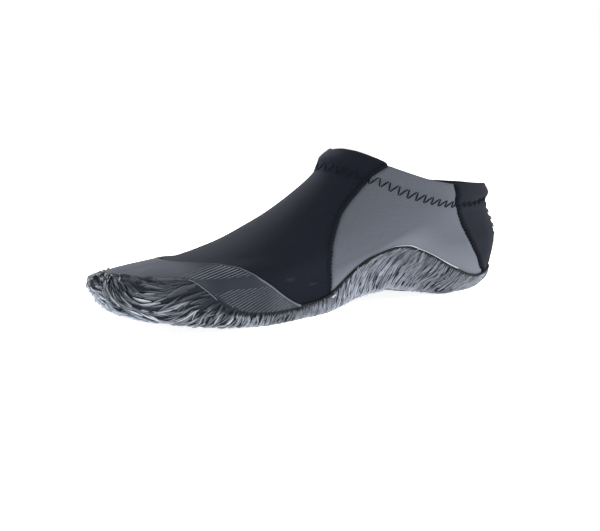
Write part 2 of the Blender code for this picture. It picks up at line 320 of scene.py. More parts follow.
def add_camera():
    """The camera, aimed so that the aim point lands on its pixel."""
    back = np.array([math.sin(AZIMUTH) * math.cos(ELEVATION), -math.cos(AZIMUTH) * math.cos(ELEVATION),
                     math.sin(ELEVATION)])
    level_right = unit(np.cross([0, 0, 1], back))
    level_up = np.cross(back, level_right)
    right = level_right * math.cos(ROLL) + level_up * math.sin(ROLL)
    up = level_up * math.cos(ROLL) - level_right * math.sin(ROLL)
    place = (AIM + back * DISTANCE - right * (AIM_PIXEL[0] - IMAGE_WIDTH / 2) / PIXELS_PER_MM
             + up * (AIM_PIXEL[1] - IMAGE_HEIGHT / 2) / PIXELS_PER_MM)
    bpy.ops.object.camera_add()
    camera = bpy.context.object
    turned = np.eye(4)
    turned[:3, :3] = np.column_stack([right, up, back])
    turned[:3, 3] = to_frame(place)
    camera.matrix_world = Matrix(turned.tolist())
    camera.data.sensor_width = SENSOR_WIDTH
    camera.data.lens = SENSOR_WIDTH * PIXELS_PER_MM * DISTANCE / IMAGE_WIDTH
    bpy.context.scene.camera = camera
    return camera


camera = add_camera()
print("camera height mm:", round(camera.location.z / MM), "lens mm:", round(camera.data.lens, 1))


# %% Node helpers
def set_inputs(tree, made, inputs):
    """Sets a node's inputs, or links them where the value is a socket."""
    for key, value in inputs.items():
        if isinstance(value, bpy.types.NodeSocket):
            tree.links.new(value, made.inputs[key])
        else:
            made.inputs[key].default_value = value


def node(tree, kind, inputs=None, **settings):
    """A shader node with its settings made and its inputs set."""
    made = tree.nodes.new(kind)
    for name, value in settings.items():
        setattr(made, name, value)
    set_inputs(tree, made, inputs or {})
    return made


def mixed(tree, factor, first, second):
    """A colour between two tones, each a colour or a socket."""
    ends = {"Factor": factor}
    for key, tone in (("A", first), ("B", second)):
        ends[key] = tone + (1.0,) if isinstance(tone, tuple) else tone
    return node(tree, "ShaderNodeMix", ends, data_type="RGBA").outputs["Result"]


def blank_material(name):
    """A new material with its tree and its Principled shader."""
    made = bpy.data.materials.new(name)
    made.use_nodes = True
    return made, made.node_tree, made.node_tree.nodes["Principled BSDF"]


# %% Floor and light
FLOOR_SIZE = 8.0
FLOOR_TONES = ((0.86, 0.86, 0.87), (0.89, 0.89, 0.895))
FLOOR_PATCHES = 6.0
FLOOR_ROUGHNESS = 0.7
WHITE = (1.0, 1.0, 1.0, 1.0)
FLOOR_GLOW = 0.9
SKY_STRENGTH = 1.0
LAMPS = (
    ("toe_softbox", (0.8, -0.75, 0.75), 0.7, 40.0),
    ("heel_softbox", (-1.0, 0.6, 0.12), 0.5, 16.0),
)


def add_lamp(name, place, size, power):
    """A broad square lamp that faces the bootie."""
    bpy.ops.object.light_add(type="AREA", location=place)
    lamp = bpy.context.object
    lamp.name = name
    lamp.data.size = size
    lamp.data.energy = power
    lamp.rotation_euler = lamp.location.to_track_quat("Z", "Y").to_euler()


def pale_floor():
    """A white floor, larger than the view."""
    bpy.ops.mesh.primitive_plane_add(size=FLOOR_SIZE)
    floor = bpy.context.object
    floor.name = "floor"
    made, tree, shader = blank_material("pale_floor")
    grain = node(tree, "ShaderNodeTexNoise", {"Scale": FLOOR_PATCHES})
    set_inputs(tree, shader, {"Base Color": mixed(tree, grain.outputs["Fac"], *FLOOR_TONES),
                              "Roughness": FLOOR_ROUGHNESS, "Emission Color": WHITE,
                              "Emission Strength": FLOOR_GLOW})
    floor.data.materials.append(made)
    floor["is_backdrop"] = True


bpy.ops.object.select_all(action="DESELECT")
pale_floor()
for lamp_row in LAMPS:
    add_lamp(*lamp_row)
sky = bpy.data.worlds.new("white_sky")
sky.use_nodes = True
set_inputs(sky.node_tree, sky.node_tree.nodes["Background"], {"Color": WHITE, "Strength": SKY_STRENGTH})
bpy.context.scene.world = sky
bpy.context.scene.view_settings.view_transform = "Standard"
print("lamps:", len(LAMPS))

# %% [markdown]
# ## Laying a sheet on the last
#
# A sewn panel starts flat. A grid primitive is that flat sheet, and its points are then laid on the last by
# rows and columns, because no bend or shrinkwrap tool knows where a panel's seams lie. Each laid grid keeps
# its real lengths, in centimetres, as its UV map, so that a knit or a weave stays true to size.

# %% Grids
CM = 10.0
MERGE_DISTANCE = 0.002


def lay_grid(name, points):
    """A grid primitive whose points are laid at an array of rows by columns of millimetre points."""
    rows, columns = points.shape[0] - 1, points.shape[1] - 1
    bpy.ops.object.select_all(action="DESELECT")
    bpy.ops.mesh.primitive_grid_add(x_subdivisions=columns, y_subdivisions=rows, size=2)
    piece = bpy.context.object
    piece.name = name
    piece.data.name = name
    flat = np.empty(3 * len(piece.data.vertices))
    piece.data.vertices.foreach_get("co", flat)
    flat = flat.reshape(-1, 3)
    at_column = np.rint((flat[:, 0] + 1) / 2 * columns).astype(int)
    at_row = np.rint((flat[:, 1] + 1) / 2 * rows).astype(int)
    piece.data.vertices.foreach_set("co", to_frame(points[at_row, at_column]).ravel())
    along = lengths(points, 1)
    upward = lengths(points, 0)
    real = np.stack([along - along[:, [columns // 2]], upward], axis=-1)[at_row, at_column] / CM
    corner = np.empty(len(piece.data.loops), int)
    piece.data.loops.foreach_get("vertex_index", corner)
    piece.data.uv_layers[0].data.foreach_set("uv", real[corner].ravel())
    piece.data.update()
    return piece


def lengths(points, axis):
    """Lengths run along the rows or columns of an array of points, from its first one."""
    step = np.linalg.norm(np.diff(points, axis=axis), axis=-1)
    start = np.zeros_like(np.take(step, [0], axis=axis))
    return np.concatenate([start, np.cumsum(step, axis=axis)], axis=axis)


def choose(piece):
    """Makes a piece the only selected and the active one."""
    bpy.ops.object.select_all(action="DESELECT")
    piece.select_set(True)
    bpy.context.view_layer.objects.active = piece


def thicken(piece, thickness):
    """Gives a laid sheet its thickness, behind its face."""
    choose(piece)
    bpy.ops.object.modifier_add(type="SOLIDIFY")
    solidify = piece.modifiers[-1]
    solidify.thickness = thickness * MM
    solidify.offset = -1.0
    bpy.ops.object.modifier_apply(modifier=solidify.name)


# %% Edit steps
def edit_all(piece, *steps):
    """Takes edit steps on the whole of a piece."""
    choose(piece)
    bpy.ops.object.mode_set(mode="EDIT")
    bpy.ops.mesh.select_all(action="SELECT")
    for step in steps:
        step()
    bpy.ops.object.mode_set(mode="OBJECT")


def merge_points():
    """Joins the points where edges meet."""
    bpy.ops.mesh.remove_doubles(threshold=MERGE_DISTANCE * MM)


def fill_open_edges():
    """Closes what stays open."""
    bpy.ops.mesh.fill_holes(sides=0)


def turn_outwards():
    """Turns all faces outwards."""
    bpy.ops.mesh.normals_make_consistent(inside=False)


def carry(piece, name, values):
    """Gives every point of a piece a value that its material reads."""
    carried = piece.data.attributes.new(name, "FLOAT", "POINT")
    carried.data.foreach_set("value", values.ravel())


# %% Threads and ribbons
def thread(name, paths, radius, closed=False):
    """Sewing thread along paths in millimetres, as tubes in one mesh."""
    curve = bpy.data.curves.new(name, "CURVE")
    curve.dimensions = "3D"
    curve.bevel_depth = radius * MM
    curve.bevel_resolution = 1
    curve.use_fill_caps = True
    for path in paths:
        spline = curve.splines.new("POLY")
        spline.points.add(len(path) - 1)
        spline.points.foreach_set("co", np.column_stack([to_frame(path), np.ones(len(path))]).ravel())
        spline.use_cyclic_u = closed
    piece = bpy.data.objects.new(name, curve)
    bpy.context.collection.objects.link(piece)
    choose(piece)
    bpy.ops.object.convert(target="MESH")
    bpy.ops.object.shade_smooth()
    return bpy.context.object


def ribbons(name, sections):
    """Slim three-sided bars in one mesh, each from rows of left, crest and right points along it."""
    points = []
    faces = []
    for section in sections:
        start = len(points)
        count = len(section)
        points.extend(section.reshape(-1, 3))
        for i in range(count - 1):
            a = start + 3 * i
            faces.extend(((a, a + 1, a + 4, a + 3), (a + 1, a + 2, a + 5, a + 4), (a + 2, a, a + 3, a + 5)))
        last = start + 3 * (count - 1)
        faces.extend(((start + 2, start + 1, start), (last, last + 1, last + 2)))
    mesh = bpy.data.meshes.new(name)
    mesh.from_pydata(to_frame(np.array(points)).tolist(), [], faces)
    piece = bpy.data.objects.new(name, mesh)
    bpy.context.collection.objects.link(piece)
    return piece


def finish_piece(piece, material, slot, *solids):
    """Gives a piece its material, hangs it on the root body, hides the solids it stands for and says how
    large it is. The slot is not used.
    """
    piece.data.materials.clear()
    piece.data.materials.append(material)
    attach(piece, "root")
    if solids:
        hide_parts(*solids)
    piece.data.calc_loop_triangles()
    print(piece.name, "triangles:", len(piece.data.loop_triangles))


# %% [markdown]
# ## Knitted jersey
#
# Wetsuit neoprene is foam with a fine knit bonded to each face. Its loops are under a millimetre, so they
# are bump and not mesh. One node group makes the loops and a soft fleck in the yarn, and each cloth mixes
# its own colours with it.

# %% Knit group
LOOP_SHARE = 0.35
LOOP_HEIGHT = 0.0003
FLECK = {"Scale": 9.0, "Detail": 4.0, "Roughness": 0.7}
FLECK_RANGE = {1: 0.3, 2: 0.7}
CLOTH_GLOSS = {"Roughness": 0.9, "Sheen Roughness": 0.45, "Specular IOR Level": 0.03}


def new_group(name, inputs, outputs):
    """A shader group with named sockets, and its input node."""
    group = bpy.data.node_groups.new(name, "ShaderNodeTree")
    for sockets, way in ((inputs, "INPUT"), (outputs, "OUTPUT")):
        for socket, kind in sockets.items():
            group.interface.new_socket(socket, in_out=way, socket_type="NodeSocket" + kind)
    return group, node(group, "NodeGroupInput").outputs


def worked_out(tree, operation, *values):
    """The result of a sum on values and sockets."""
    return node(tree, "ShaderNodeMath", dict(enumerate(values)), operation=operation).outputs[0]


def knit_group():
    """Rows of small loops and a fleck, from coordinates in centimetres."""
    group, given = new_group("knit_jersey", {"Cloth": "Vector", "Loops per cm": "Float"},
                             {"Height": "Float", "Fleck": "Float"})
    scaled = node(group, "ShaderNodeVectorMath", {0: given["Cloth"], "Scale": given["Loops per cm"]},
                  operation="SCALE")
    parts = node(group, "ShaderNodeSeparateXYZ", {0: scaled.outputs[0]}).outputs
    cell = worked_out(group, "FRACT", parts["X"])
    arm = worked_out(group, "ABSOLUTE", worked_out(group, "SUBTRACT", cell, 0.5))
    lean = worked_out(group, "ADD", parts["Y"], arm)
    loop = worked_out(group, "SINE", worked_out(group, "MULTIPLY", lean, FULL_TURN))
    wale = worked_out(group, "SINE", worked_out(group, "MULTIPLY", cell, math.pi))
    softened = worked_out(group, "MULTIPLY_ADD", loop, LOOP_SHARE, 1 - LOOP_SHARE)
    height = worked_out(group, "MULTIPLY", wale, softened)
    fleck = node(group, "ShaderNodeTexNoise", {"Vector": given["Cloth"], **FLECK}).outputs["Fac"]
    node(group, "NodeGroupOutput", {"Height": height, "Fleck": fleck})
    return group


knit = knit_group()
print("knit group:", len(knit.nodes), "nodes")


# %% Jersey
def bumped(tree, height, strength, distance):
    """A normal that follows a height."""
    inputs = {"Height": height, "Strength": strength, "Distance": distance}
    return node(tree, "ShaderNodeBump", inputs).outputs["Normal"]


def jersey(name, dark, light, loops, bump, sheen, paler=None):
    """Knitted cloth between two tones, and a paler one where a vertex value asks for it, for painted light
    and for scuff marks.
    """
    made, tree, shader = blank_material(name)
    cloth = node(tree, "ShaderNodeUVMap", uv_map="UVMap").outputs["UV"]
    loop = node(tree, "ShaderNodeGroup", {"Cloth": cloth, "Loops per cm": loops}, node_tree=knit).outputs
    spread = node(tree, "ShaderNodeMapRange", {0: loop["Fleck"], **FLECK_RANGE}).outputs[0]
    colour = mixed(tree, spread, dark, light)
    if paler:
        carried = node(tree, "ShaderNodeAttribute", attribute_name="pale").outputs["Fac"]
        colour = mixed(tree, carried, colour, paler)
    normal = bumped(tree, loop["Height"], bump, LOOP_HEIGHT)
    set_inputs(tree, shader, {"Base Color": colour, "Normal": normal, "Sheen Weight": sheen, **CLOTH_GLOSS})
    return made


# The third tone of each cloth is painted light: on the black cloth over the instep and round the heel, where
# it is also the tone of small scuffs, and on the grey cloth low down along the rim and towards the heel.
black_jersey = jersey("black_jersey", (0.0057, 0.0069, 0.0110), (0.0088, 0.0103, 0.0160), 13.0, 0.35, 0.02,
                      (0.090, 0.095, 0.108))
grey_jersey = jersey("grey_jersey", (0.056, 0.062, 0.0745), (0.077, 0.0835, 0.1005), 13.0, 0.4, 0.03,
                     (0.155, 0.168, 0.196))
lining_jersey = jersey("lining_jersey", (0.15, 0.16, 0.18), (0.21, 0.22, 0.245), 11.0, 0.4, 0.03)
print("cloths:", black_jersey.name, grey_jersey.name, lining_jersey.name)

# %% [markdown]
# ## The four panels
#
# Vamp, two quarters and heel panel meet at seams that curve down the foot. Each seam is a short table of the
# angle at each ring level, so neighbours share one edge exactly. A row of a panel runs up the outside, over
# the fold and down inside the collar, as the sewn hem does. Near a seam the foam is pinched, and the black
# panels carry a raised band where the seam is taped.

# %% Seam lines
SEAM_FIELDS = ("level", "angle")
VAMP_SEAM = (
    (0.0, 90.5),
    (9.5, 89.9),
    (15.0, 89.6),
    (20.7, 88.7),
    (25.0, 87.7),
    (29.2, 86.2),
    (33.0, 83.8),
    (36.8, 80.8),
    (42.2, 75.8),
    (48.4, 69.1),
    (56.1, 59.4),
    (61.9, 52.5),
    (65.9, 49.4),
    (69.0, 48.6),
    (73.0, 49.6),
    (79.0, 52.4),
    (86.0, 55.6),
)
HEEL_SEAM = (
    (0.0, 155.0),
    (7.5, 149.5),
    (10.8, 146.2),
    (16.6, 143.2),
    (24.1, 138.9),
    (36.6, 134.0),
    (41.3, 132.2),
    (47.5, 128.8),
    (53.7, 124.9),
    (61.6, 119.4),
    (68.5, 114.3),
    (73.1, 110.1),
    (78.0, 107.0),
    (86.0, 103.5),
)


def seam_angle(seam, level):
    """Angle of a seam line on the inner side at ring levels, in radians."""
    return np.radians(column(seam, SEAM_FIELDS, "angle", "level", level))


print("seams start at", VAMP_SEAM[0][1], "and", HEEL_SEAM[0][1], "degrees")

# %% Collar and hem
PANEL_THICKNESS = 1.3
HEM_WALL = 4.6
HEM_EDGE_LEVEL = 74.5
COLLAR_START = 70.0
COLLAR_FIELDS = ("angle", "level", "rise")
VAMP_COLLAR = (
    (0.0, 83.8, 1.6),
    (16.0, 85.8, 2.2),
    (30.0, 86.0, 3.1),
    (43.0, 86.0, 3.0),
    (51.0, 85.8, 2.5),
    (53.5, 85.4, 2.2),
    (55.6, 84.6, 1.9),
    (60.0, 84.4, 1.9),
)
QUARTER_COLLAR = (
    (50.0, 84.8, 1.9),
    (56.0, 84.7, 1.9),
    (70.0, 84.3, 1.9),
    (88.0, 83.6, 1.9),
    (106.0, 83.8, 1.9),
)
HEEL_COLLAR = (
    (100.0, 84.2, 1.9),
    (130.0, 86.0, 1.9),
    (150.0, 86.2, 1.9),
    (165.0, 85.8, 1.9),
    (180.0, 85.6, 1.9),
)
HEM_FIELDS = ("angle", "level")
HEM_LINE = (
    (0.0, 73.0),
    (56.0, 74.0),
    (68.0, 72.6),
    (83.0, 71.5),
    (108.0, 70.0),
    (125.0, 71.5),
    (148.0, 75.0),
    (180.0, 75.5),
)
OUTSIDE_ROWS = 121
FOLD_ROWS = 7
FOLD_REACH = 3.0
TURNED_ROWS = 12
SEAM_PINCH = 0.55
SEAM_SOFTNESS = 1.3
BAND_NEAR = (0.4, 1.4)
BAND_FAR = (5.4, 6.4)
BAND_RAISE = 0.3
HEM_PINCH = 0.5
HEM_PULL = (25.0, 55.0)
HEM_SOFTNESS = 2.0
print("collar rows:", len(VAMP_COLLAR), len(QUARTER_COLLAR), len(HEEL_COLLAR))

# %% Creases
CREASE_FIELDS = ("angle", "level", "half_angle", "half_level", "lean", "depth")
CREASES = (
    (0.0, 82.0, 45.0, 3.5, 0.0, 0.3),
    (0.0, 68.0, 45.0, 8.0, 0.0, 1.4),
    (180.0, 69.0, 40.0, 4.0, 0.0, 1.8),
    (180.0, 76.0, 42.0, 2.0, 0.0, -1.4),
    (180.0, 36.0, 16.0, 26.0, 0.0, 1.1),
    (180.0, 88.0, 50.0, 4.5, 0.0, -2.0),
    (14.0, 60.0, 30.0, 3.0, 0.05, -0.35),
    (-18.0, 50.0, 34.0, 3.0, -0.05, -0.4),
    (40.0, 40.0, 18.0, 5.0, 0.20, -0.35),
    (-46.0, 38.0, 18.0, 5.0, -0.20, -0.4),
    (88.0, 52.0, 20.0, 9.0, 0.10, -0.5),
    (-92.0, 50.0, 22.0, 9.0, -0.10, -0.6),
    (128.0, 62.0, 14.0, 4.0, 0.15, -0.4),
    (-130.0, 60.0, 14.0, 4.0, -0.15, -0.4),
    (180.0, 40.0, 26.0, 9.0, 0.0, 0.4),
)


def soft_step(value, low, high):
    """0 below low, 1 above high, with an easy slope between."""
    t = np.clip((value - low) / (high - low), 0, 1)
    return t * t * (3 - 2 * t)


def crease_relief(level, theta):
    """Soft troughs and swells pressed into the neoprene."""
    relief = np.zeros_like(theta)
    for row in CREASES:
        crease = dict(zip(CREASE_FIELDS, row))
        off = np.degrees(np.angle(np.exp(1j * (theta - math.radians(crease["angle"])))))
        rise = level - crease["level"] - crease["lean"] * off
        reach = (off / crease["half_angle"])**2 + (rise / crease["half_level"])**2
        relief += crease["depth"] * np.exp(-reach)
    return relief


def from_toe(theta):
    """Angle from the toe in degrees, the same on both sides."""
    return np.degrees(np.abs(np.angle(np.exp(1j * theta))))


def hem_line(theta):
    """Ring level of the hem's stitch line."""
    return column(HEM_LINE, HEM_FIELDS, "level", "angle", from_toe(theta))


def cloth_relief(level, theta):
    """Creases, and the groove that the hem's stitch pulls into the neoprene."""
    level, theta = np.broadcast_arrays(np.asarray(level, float), np.asarray(theta, float))
    pull = HEM_PINCH * soft_step(from_toe(theta), *HEM_PULL)
    groove = pull * np.exp(-((level - hem_line(theta)) / HEM_SOFTNESS)**2)
    return crease_relief(level, theta) - groove


print("creases:", len(CREASES))


# %% Points of a panel
def panel_points(left, right, collar, columns, band):
    """Rows of a panel's points between two seams, and how pale it is from painted light and scuffs. Band is 1
    where edges are taped.
    """
    fold = np.linspace(0, math.pi, FOLD_ROWS + 2)[1:-1]
    outside = np.linspace(0, TOP_LEVEL, OUTSIDE_ROWS)
    turned = np.linspace(TOP_LEVEL, HEM_EDGE_LEVEL, TURNED_ROWS)
    level = np.concatenate([outside, np.full(FOLD_ROWS, TOP_LEVEL), turned])[:, None]
    offset = np.concatenate([0 * outside, HEM_WALL / 2 * (np.cos(fold) - 1), 0 * turned - HEM_WALL])[:, None]
    bow = np.concatenate([0 * outside, np.sin(fold), 0 * turned])[:, None]
    shown = np.concatenate([1 + 0 * outside, (1 + np.cos(fold)) / 2, 0 * turned])[:, None]

    share = np.linspace(0, 1, columns + 1)
    theta = left(level) + (right(level) - left(level)) * share
    top = column(collar, COLLAR_FIELDS, "level", "angle", from_toe(theta))
    rise = column(collar, COLLAR_FIELDS, "rise", "angle", from_toe(theta)) * bow
    above = np.clip(level - COLLAR_START, 0, None) / (TOP_LEVEL - COLLAR_START)
    level = np.minimum(level, COLLAR_START) + above * (top - COLLAR_START)
    run = lengths(wall(level, theta, 0), 1)
    relief = cloth_relief(level, theta)
    for from_seam in (run, run[:, [-1]] - run):
        relief -= SEAM_PINCH * np.exp(-(from_seam / SEAM_SOFTNESS)**2)
        raised_band = soft_step(from_seam, *BAND_NEAR) * (1 - soft_step(from_seam, *BAND_FAR))
        relief += band * BAND_RAISE * raised_band
    upward = unit(wall(TOP_LEVEL, theta, 0) - wall(TOP_LEVEL - FOLD_REACH, theta, 0))
    pale = painted_light_and_scuffs(level, theta) if band else painted_low_light(level, theta)
    return wall(level, theta, offset + relief * shown) + upward * rise[..., None], pale


print("rows of a panel:", OUTSIDE_ROWS + FOLD_ROWS + TURNED_ROWS)


# %% Painted light and scuffs
LOW_LIGHT = 0.75
LOW_LIGHT_ABOVE_RIM = (-6.0, 22.0)
REAR_LIGHT = 0.3
REAR_LIGHT_ANGLES = (85.0, 140.0)


def painted_low_light(level, theta):
    """Painted light on grey jersey: most low down along the sole's rim, where the floor lights it, and some
    towards the heel.
    """
    low = 1 - soft_step(level - rim_level(theta), *LOW_LIGHT_ABOVE_RIM)
    rear = soft_step(from_toe(theta), *REAR_LIGHT_ANGLES)
    return LOW_LIGHT * low + REAR_LIGHT * rear * (1 - low)


SCUFF_FIELDS = ("level", "angle", "half_level", "half_angle", "pale")
SCUFFS = (
    (24.2, 74.6, 0.5, 1.0, 0.16),
    (23.2, 75.4, 0.5, 0.9, 0.10),
    (18.5, 83.0, 0.5, 0.9, 0.20),
)
# Painted light on the black panels: paler where the instep faces up, and round the heel.
INSTEP_FACING = (0.4, 0.0, 0.9)
INSTEP_TURN = (0.72, 1.0)
INSTEP_PALE = 0.13
HEEL_PALE = 0.05
HEEL_ANGLES = (100.0, 125.0)


def painted_light_and_scuffs(level, theta):
    """Painted light on black jersey, paler where the instep faces up into the light and round the heel, and
    small rubbed marks.
    """
    facing = (wall(level, theta, 1) - wall(level, theta, 0)) @ INSTEP_FACING
    pale = INSTEP_PALE * soft_step(facing, *INSTEP_TURN)
    pale += HEEL_PALE * soft_step(from_toe(theta), *HEEL_ANGLES)
    for row in SCUFFS:
        mark = dict(zip(SCUFF_FIELDS, row))
        off = (np.degrees(theta) - mark["angle"]) / mark["half_angle"]
        pale += mark["pale"] * np.exp(-off**2 - ((level - mark["level"]) / mark["half_level"])**2)
    return pale


print("scuffs:", len(SCUFFS))


# %% Sew the panels
def along_seam(seam, side=1, turn=0.0):
    """A function that gives the angle of a seam at ring levels, on the inner side or mirrored."""
    return lambda level: turn + side * seam_angle(seam, level)


PANELS = (
    ("vamp", along_seam(VAMP_SEAM, -1), along_seam(VAMP_SEAM), VAMP_COLLAR, 190, 1, black_jersey),
    ("quarter_inner", along_seam(VAMP_SEAM), along_seam(HEEL_SEAM), QUARTER_COLLAR, 80, 0, grey_jersey),
    ("heel_panel", along_seam(HEEL_SEAM), along_seam(HEEL_SEAM, -1, FULL_TURN), HEEL_COLLAR, 90, 1,
     black_jersey),
    ("quarter_outer", along_seam(HEEL_SEAM, -1, FULL_TURN), along_seam(VAMP_SEAM, -1, FULL_TURN),
     QUARTER_COLLAR, 80, 0, grey_jersey),
)
for name, left, right, collar, columns, band, cloth in PANELS:
    points, pale = panel_points(left, right, collar, columns, band)
    panel = lay_grid(name, points)
    carry(panel, "pale", pale)
    thicken(panel, PANEL_THICKNESS)
    bpy.ops.object.shade_smooth()
    finish_piece(panel, cloth, "neoprene", "upper")

# %% [markdown]
# ## Lining
#
# Inside, the same foam shows its paler jersey, from under the turned hem down to the footbed. It is one
# closed sleeve laid facing inwards, with its thickness behind it.

# %% Lining sleeve
LINING_DEPTH = 3.0
LINING_THICKNESS = 1.2
LINING_TOP = 77.0
LINING_COLUMNS = 160
LINING_ROWS = 60
theta = np.linspace(0, FULL_TURN, LINING_COLUMNS + 1)
level = np.linspace(LINING_TOP, 0, LINING_ROWS + 1)[:, None]
lining = lay_grid("lining", wall(level, theta, -LINING_DEPTH))
edit_all(lining, merge_points)
thicken(lining, LINING_THICKNESS)
bpy.ops.object.shade_smooth()
finish_piece(lining, lining_jersey, "neoprene", "upper")

# %% [markdown]
# ## Moulded rubber
#
# Sole, strands and toe guard are one black-grey rubber that has gone a little chalky. A shared group gives
# the fine grain of the mould and the patchy bloom. Strands and guard also carry a shade at each of their
# points. On the strands it is painted light: a painted highlight on each crest and painted shade on its
# flanks. On the guard it makes the front, the rear and the upper edge paler.

# %% Rubber group
GRAIN = {"Scale": 900.0, "Detail": 3.0}
GRAIN_HEIGHT = 0.0002
BLOOM = {"Scale": 55.0, "Detail": 5.0, "Roughness": 0.65}
BLOOM_RANGE = {1: 0.32, 2: 0.72}
PATCHY_RANGE = {3: 0.75, 4: 1.15}


def rubber_group():
    """Grain and bloom of moulded rubber, from Object coordinates."""
    group, given = new_group("moulded_rubber", {"Place": "Vector"}, {"Grain": "Float", "Bloom": "Float"})
    grain = node(group, "ShaderNodeTexNoise", {"Vector": given["Place"], **GRAIN}).outputs["Fac"]
    patch = node(group, "ShaderNodeTexNoise", {"Vector": given["Place"], **BLOOM}).outputs["Fac"]
    bloom = node(group, "ShaderNodeMapRange", {0: patch, **BLOOM_RANGE}).outputs[0]
    node(group, "NodeGroupOutput", {"Grain": grain, "Bloom": bloom})
    return group


moulded = rubber_group()
print("rubber group:", len(moulded.nodes), "nodes")


# %% Rubbers
def rubber(name, dark, light, roughness, bump, specular, contrast=None):
    """Rubber between two tones, by its bloom, or by the shade of its points where it has a contrast."""
    made, tree, shader = blank_material(name)
    place = node(tree, "ShaderNodeTexCoord").outputs["Object"]
    skin = node(tree, "ShaderNodeGroup", {"Place": place}, node_tree=moulded).outputs
    factor = skin["Bloom"]
    if contrast:
        carried = node(tree, "ShaderNodeAttribute", attribute_name="shade").outputs["Fac"]
        drawn = worked_out(tree, "POWER", carried, contrast)
        patchy = node(tree, "ShaderNodeMapRange", {0: factor, **PATCHY_RANGE}).outputs[0]
        factor = node(tree, "ShaderNodeMath", {0: drawn, 1: patchy}, operation="MULTIPLY",
                      use_clamp=True).outputs[0]
    set_inputs(tree, shader, {"Base Color": mixed(tree, factor, dark, light),
                              "Normal": bumped(tree, skin["Grain"], bump, GRAIN_HEIGHT),
                              "Roughness": roughness, "Specular IOR Level": specular})
    return made


sole_rubber = rubber("sole_rubber", (0.010, 0.0118, 0.0180), (0.022, 0.0248, 0.0340), 0.6, 0.3, 0.06)
# The strands' light tone is a painted highlight for their crests.
strand_rubber = rubber("strand_rubber", (0.010, 0.0120, 0.0185), (0.52, 0.56, 0.63), 0.5, 0.25, 0.14,
                       contrast=1.3)
guard_rubber = rubber("guard_rubber", (0.0180, 0.0208, 0.0290), (0.185, 0.195, 0.222), 0.6, 0.3, 0.06,
                      contrast=1.0)
rib_rubber = rubber("rib_rubber", (0.080, 0.088, 0.105), (0.160, 0.173, 0.200), 0.5, 0.3, 0.3)
print("rubbers:", sole_rubber.name, strand_rubber.name, guard_rubber.name, rib_rubber.name)

# %% [markdown]
# ## The cup sole
#
# The rubber cup has a barred tread, a round corner, a side that climbs to the rim and a bed inside. Its side
# is one grid wrapped round the foot. Tread and bed are grids laid from side to side whose ends fall on the
# wrapped grid's edges, so that joining and merging closes the cup.

# %% Side of the sole
SOLE_WALL_LOW = 2.8
SOLE_WALL_RIM = 1.7
SOLE_BED = 5.0
SEAT_GAP = 0.4
STRAND_RECESS = 0.8
CORNER_FIELDS = ("run", "offset", "height")
CORNER = (
    (0.0, -4.0, 0.0),
    (3.6, -0.6, 0.5),
    (6.4, 1.9, 2.2),
    (9.6, 2.8, 5.6),
)
CORNER_RUN = CORNER[-1][0]
HEEL_SHARES = (0.10, 0.30)
HEEL_TUCK = 6.0


def heel_share(theta):
    """1 round the heel, where the sole's corner is rounder, and 0 ahead of it."""
    return 1 - soft_step(foot_share(theta), *HEEL_SHARES)


def sole_side(theta, run):
    """Points of the sole's side: run goes from the tread's edge round the corner and up to the rim."""
    turn = np.clip(run, 0, CORNER_RUN)
    tuck = HEEL_TUCK * heel_share(theta) * (1 - (turn / CORNER_RUN)**2)
    low = wall(0, theta, column(CORNER, CORNER_FIELDS, "offset", "run", turn) - tuck)
    height = column(CORNER, CORNER_FIELDS, "height", "run", turn)
    ground = underside(low[..., 0].ravel(), low[..., 1].ravel()).reshape(theta.shape)
    joined = wall(0, theta, 0)[..., 2] - CORNER[-1][2]
    low[..., 2] = ground + (joined - ground) * (turn / CORNER_RUN)**2 + height
    level = np.clip(run - CORNER_RUN, 0, TOP_LEVEL)
    thickness = SOLE_WALL_LOW + (SOLE_WALL_RIM - SOLE_WALL_LOW) * np.clip(level / rim_level(theta), 0, 1)
    return np.where((run < CORNER_RUN)[..., None], low, wall(level, theta, thickness))


print("run round the corner, mm:", CORNER_RUN)

# %% Map of the side
SIDE_COLUMNS = 720
SIDE_ROWS = 120
SIDE_RUN = CORNER_RUN + field(RIM, RIM_FIELDS, "inner").max() + 3.0


def side_map():
    """Points of the sole's side, and its slopes round the foot and upwards, on a fine grid."""
    theta = np.linspace(-math.pi, math.pi, SIDE_COLUMNS + 1)
    run = np.linspace(0, SIDE_RUN, SIDE_ROWS + 1)
    points = sole_side(*np.meshgrid(theta, run))
    return np.stack([points, np.gradient(points, theta, axis=1), np.gradient(points, run, axis=0)], axis=2)


SIDE = side_map()


def on_side(theta, run):
    """Points of the sole's side and its two slopes, read between the points of the map."""
    across = np.mod(theta + math.pi, FULL_TURN) / FULL_TURN * SIDE_COLUMNS
    up = np.clip(run / SIDE_RUN, 0, 1) * SIDE_ROWS
    column_low = np.minimum(across.astype(int), SIDE_COLUMNS - 1)
    row_low = np.minimum(up.astype(int), SIDE_ROWS - 1)
    across = (across - column_low)[..., None, None]
    up = (up - row_low)[..., None, None]
    low = SIDE[row_low, column_low] * (1 - across) + SIDE[row_low, column_low + 1] * across
    high = SIDE[row_low + 1, column_low] * (1 - across) + SIDE[row_low + 1, column_low + 1] * across
    made = low * (1 - up) + high * up
    return made[..., 0, :], made[..., 1, :], made[..., 2, :]


print("map of the sole's side:", SIDE.shape[0], "by", SIDE.shape[1])


